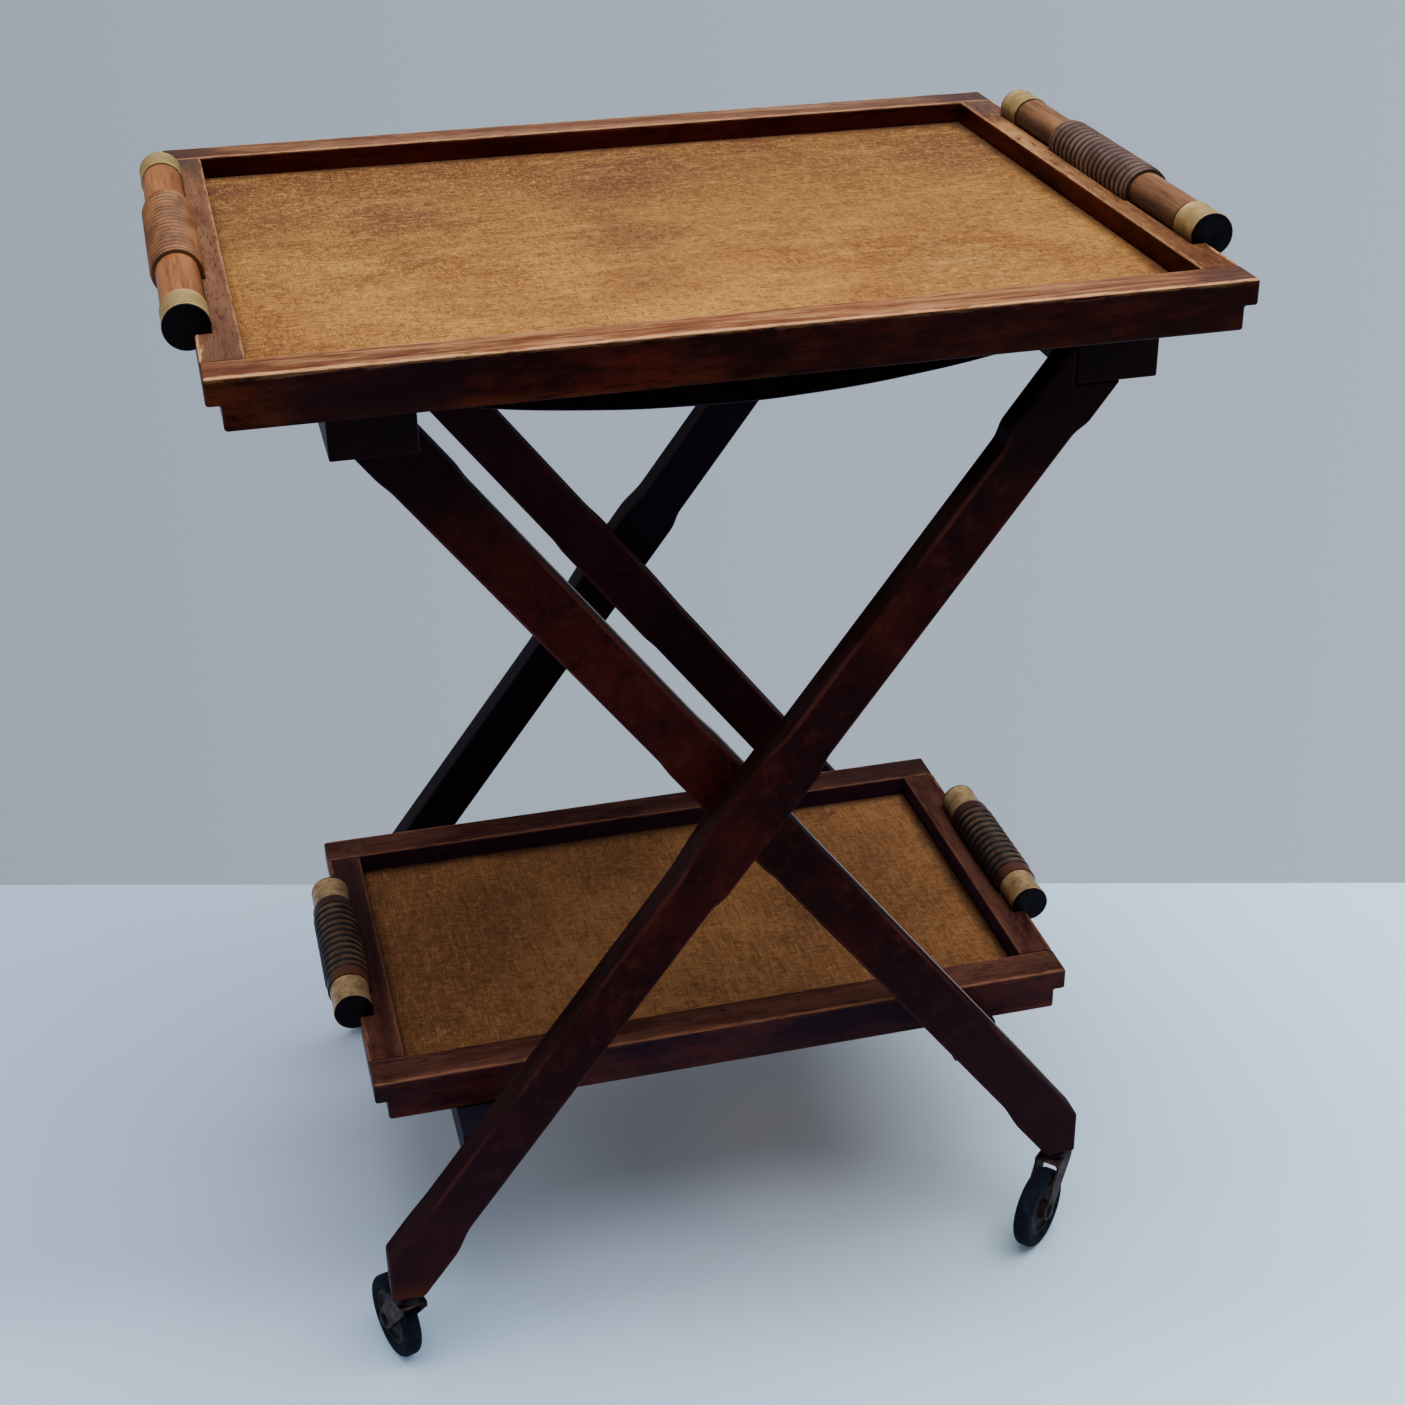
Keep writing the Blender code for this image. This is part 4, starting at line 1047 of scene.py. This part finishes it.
def strap_mesh(line, low_y, width, seed):
    """The band along its line, thinner at its two edges and a little curled."""
    points, faces = [], []
    last = len(line) - 1
    for index, (x, z) in enumerate(line):
        way = (Vector(line[min(last, index + 1)]) - Vector(line[max(0, index - 1)])).normalized()
        for side in (-0.5, 0.5):
            for row in range(STRAP_ROWS + 1):
                share = row / STRAP_ROWS
                edge = 1 - 0.55 * max(0, abs(2 * share - 1) - 0.86) / 0.14
                offset = STRAP_THICKNESS * (0.5 + side * edge)
                curl = 0.0006 * noise.noise(Vector((x * 18, share * 2, seed))) * min(1, index, last - index)
                points.append((x - way.y * offset, low_y + width * share, z + way.x * offset + curl))
    upper = STRAP_ROWS + 1
    ring = 2 * upper
    for index in range(last):
        base, after = index * ring, (index + 1) * ring
        for row in range(STRAP_ROWS):
            faces.append((base + row, base + row + 1, after + row + 1, after + row))
            faces.append((base + upper + row, after + upper + row, after + upper + row + 1, base + upper + row + 1))
        faces.append((base, after, after + upper, base + upper))
        faces.append((base + STRAP_ROWS, base + ring - 1, after + ring - 1, after + STRAP_ROWS))
    final = last * ring
    for row in range(STRAP_ROWS):
        faces.append((row, upper + row, upper + 1 + row, row + 1))
        faces.append((final + row, final + row + 1, final + upper + 1 + row, final + upper + row))
    solid = bmesh.new()
    solid.from_mesh(mesh_from(points, faces))
    return smooth(closed(solid), 60)


def make_straps(cloth):
    """Woven bands that hang slack between the top battens."""
    left = sized_from("inner_top_batten")[1].x + GAP
    right = sized_from("outer_top_batten")[0].x - GAP
    for which, seed in (("front", 1), ("rear", 5)):
        node = "strap_" + which
        low, high = sized_from(node)
        width, top = high.y - low.y, high.z
        line = strap_line(left, right, top)
        band = add("band_" + which, strap_mesh(line, low.y, width, seed), cloth, None, node)
        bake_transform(band)


# Casters, with the heading of each in degrees

CORNERS = {"front_left": 107.6, "front_right": 222.3, "rear_left": 34, "rear_right": 139}
FORK_INSIDE, FORK_OUTSIDE = 0.0158, 0.0192
TYRE_HALF, TREAD_HALF, TREAD_ROUND = 0.0065, 0.0012, 0.0042
STEM_LENGTH = 0.0275


def tyre_points():
    side = [(0.0197, 0.0051), (0.0215, 0.0059), (0.024, TYRE_HALF)]
    side += arc((WHEEL - TREAD_ROUND, TYRE_HALF - TREAD_ROUND), TREAD_ROUND, 80, 12, 6)
    side.append((WHEEL, TREAD_HALF))
    return mirrored(side)


def hub_points():
    bore, boss, web, rim = 0.0033, 0.0075, 0.0035, 0.0051
    side = [(bore, boss), (0.0064, boss), (0.007, boss - 0.0006), (0.0072, web + 0.0008), (0.0082, web),
            (0.0158, web), (0.0166, web + 0.0006), (0.017, rim - 0.0004), (0.0176, rim), (0.0194, rim)]
    return mirrored(side)


def axle_points():
    head = FORK_OUTSIDE / 2 + GAP
    side = [(0, head + 0.0016), (0.003, head + 0.0015), (0.0046, head + 0.0009), (0.0052, head), (0.003, head)]
    return mirrored(side)


def stem_points():
    """A pin in the leg, a cup under it and a rivet that holds the fork."""
    tip, pin, cup, rivet_pin = FOOT + STEM_LENGTH, 0.0045, 0.0082, 0.004
    cup_top, cup_low, rivet = FOOT - GAP, FORK_TOP + GAP, FORK_TOP - FORK_WALL - GAP
    points = [(0, tip), (0.004, tip), (pin, tip - 0.0006), (pin, cup_top), (cup, cup_top)]
    points += arc((cup, cup_top - 0.0018), 0.0018, 80, 10)
    points += [(0.01, cup_low + 0.0012), (0.0096, cup_low), (rivet_pin, cup_low), (rivet_pin, rivet)]
    return points + [(0.0062, rivet), (0.0056, rivet - 0.0012), (0, rivet - 0.0016)]


def fork_points():
    """Side view with the swivel at x = 0: shoulders with round corners and cheeks that taper to an eye."""
    front, back, top, shoulder = 0.013, -0.01, FORK_TOP, FORK_TOP - 0.0047
    radius, ease, eye_steps = 0.0068, 0.0022, 24
    eye = Vector((TRAIL, WHEEL))
    first, last = Vector((back, shoulder)) - eye, Vector((front, shoulder)) - eye
    start = atan2(first.y, first.x) + acos(radius / first.length)
    stop = atan2(last.y, last.x) - acos(radius / last.length) + 2 * pi
    points = arc((front - ease, top - ease), ease, 0, 90, 5) + arc((back + ease, top - ease), ease, 90, 180, 5)
    points.append((back, shoulder))
    points += arc(eye, radius, degrees(start), degrees(stop), eye_steps)
    return points + [(front, shoulder)]


def make_casters():
    steel = dull_steel("fork_steel", (76, 56, 52), (24, 18, 20), (58, 34, 29), 0.15)
    bearing = dull_steel("bearing_steel", (34, 30, 32), (12, 10, 12), (30, 18, 14))
    disc = dull_steel("wheel_disc", (46, 33, 33), (17, 12, 15), (36, 22, 21), 0.1)
    tread = rubber()
    half = FORK_INSIDE / 2
    for corner, heading in CORNERS.items():
        low, high = sized_from(corner + "_caster_stem")
        place = at((low.x + high.x) / 2, (low.y + high.y) / 2, 0)
        frame_body = "outer_frame" if corner.endswith("left") else "inner_frame"
        add(corner + "_bearing", moved(lathe(stem_points(), 40), place), bearing, frame_body,
            corner + "_caster_stem")
        spot = place @ turn(heading, "Z")
        channel = block(Vector((-0.1, -half, -0.01)), Vector((0.1, half, FORK_TOP - FORK_WALL)))
        fork = carved(plate(fork_points(), FORK_OUTSIDE), [rounded(channel, 0.0016)])
        add(corner + "_pressed_fork", moved(rounded(fork, 0.0004, 2, 50), spot), steel, corner + "_fork",
            corner + "_caster_fork")
        centre = spot @ at(TRAIL, 0, WHEEL) @ turn(90, "X")
        for name, points, sides, look, body, node, slot in (
                ("_riveted_axle", axle_points(), 40, bearing, "_fork", "_caster_axle", "steel"),
                ("_dished_hub", hub_points(), 64, disc, "_wheel", "_wheel_hub", "hub"),
                ("_rubber_tyre", tyre_points(), 72, tread, "_wheel", "_wheel_tyre", "rubber")):
            add(corner + name, lathe(points, sides), look, corner + body, corner + node, centre)


# Stage

WALL_LEFT, WALL_RIGHT = Vector((-0.525, 0.515, 0)), Vector((0.725, 0.168, 0))
WALL_REACH, WALL_HEIGHT = 3.5, 3


def emitter(name, colour, left, right):
    """Even light that gets brighter to the right and is seen from the front only."""
    material = bpy.data.materials.new(name)
    material.use_nodes = True
    tree = material.node_tree
    tree.nodes.remove(tree.nodes["Principled BSDF"])
    strength = split(shader(tree, "TexCoord", output="Object"))[0].ramp(-0.55, 0.7, left, right)
    parts = (shader(tree, "NewGeometry", output="Backfacing"),
             shader(tree, "Emission", (("Color", colour), ("Strength", strength))),
             shader(tree, "BsdfTransparent"))
    feed(tree, tree.nodes["Material Output"].inputs["Surface"], shader(tree, "MixShader", enumerate(parts)))
    return material


def floor_look():
    """Pale, with painted light and shade: brighter, cooler and glowing to the right and in front, dimmer behind on
    the left, and a warmer shadow under the table with a lit spot in it.
    """
    paint = Paint("floor", 0.2)
    drift = paint.noise(3, 3)
    # Painted light: lighter near the front.
    close = (paint.y + paint.x * 0.2765).above(-0.15, -0.29, drift, 0.1)
    # Painted shade: dimmer behind and to the left.
    dim = paint.y.above(-0.52, -0.22) * paint.x.above(0.85, 0.25)
    # Painted light: brighter to the right.
    shade = paint.x.above(-0.75, 0.95, drift, 0.5)
    ground = paint.layers((190, 206, 229), [
        (shade, (222, 247, 255)),
        # Painted shadow under the table, with a painted pool of light in it.
        (paint.near(0.06, 0.12, 0.42) * 0.36, (190, 168, 160)),
        (paint.near(0.08, -0.03, 0.13) * 0.5, (250, 250, 255)),
        (close * 0.55, (236, 248, 255)),
        (dim * 0.7, (0.86, 0.86, 0.88), "MULTIPLY"),
    ])
    paint.set("Base Color", ground)
    paint.set("Roughness", 0.9)
    # Painted light: the floor glows to the right and in front.
    paint.set("Emission Color", (0.08, 0.4, 0.8, 1))
    paint.set("Emission Strength", (paint.x.above(0.2, 0.6, drift, 0.2) + close) * 0.19)
    return paint.material


def make_stage():
    """A pale floor, and a pale backdrop that throws no shadow and no light."""
    reach = 6
    ground = [(-reach, -reach, 0), (reach, -reach, 0), (reach, reach, 0), (-reach, reach, 0)]
    way = (WALL_RIGHT - WALL_LEFT).normalized() * WALL_REACH
    left, right, up = WALL_LEFT - way, WALL_RIGHT + way, Vector((0, 0, WALL_HEIGHT))
    for name, corners, look in (("floor", ground, floor_look()),
                                ("backdrop", [left, right, right + up, left + up],
                                 emitter("backdrop", rgb(172, 185, 203), 0.92, 1.24))):
        item = placed(name, mesh_from(corners, [(0, 1, 2, 3)]))
        item.data.materials.append(look)
    setup(item, visible_shadow=False, visible_diffuse=False, visible_glossy=False, visible_transmission=False)


def make_lights():
    world = bpy.data.worlds.new("studio")
    world.use_nodes = True
    tree = world.node_tree
    background = tree.nodes["Background"]
    background.inputs["Color"].default_value = rgb(204, 207, 214)
    height = split(shader(tree, "TexCoord", output="Generated"))[2]
    feed(tree, background.inputs["Strength"], height.ramp(-0.1, 0.9, 0.13, 0.95))
    bpy.context.scene.world = world
    for name, place, target, size, power, colour in (
            ("top", (0.5, -0.2, 3), (0.1, 0, 0.3), 3.6, 150, (0.89, 0.96, 1.06)),
            ("side", (-2.6, -0.4, 2.3), (0, 0, 0.5), 1.8, 14, (0.93, 0.98, 1.04))):
        data = bpy.data.lights.new(name, "AREA")
        setup(data, shape="DISK", size=size, energy=power, color=colour)
        lamp = placed(name, data)
        lamp.location = place
        lamp.rotation_euler = (Vector(target) - Vector(place)).to_track_quat("-Z", "Y").to_euler()


def dress_the_rest():
    """Better materials for the CAD pieces that keep their shape."""
    board = board_wood()
    bolt = frame_wood("bolt_under_old_finish")
    for name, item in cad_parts.items():
        if name.endswith("base_board"):
            item.data.materials[0] = board
        elif name.startswith("pivot_bolt"):
            item.data.materials[0] = bolt


make_camera()
make_stage()
make_lights()
shared_cap = black_cap()
for tray in (UPPER, LOWER):
    make_rails(tray)
    make_mat(tray)
    make_handles(tray, brass(tray), shared_cap)
make_legs()
make_straps(webbing())
make_casters()
dress_the_rest()
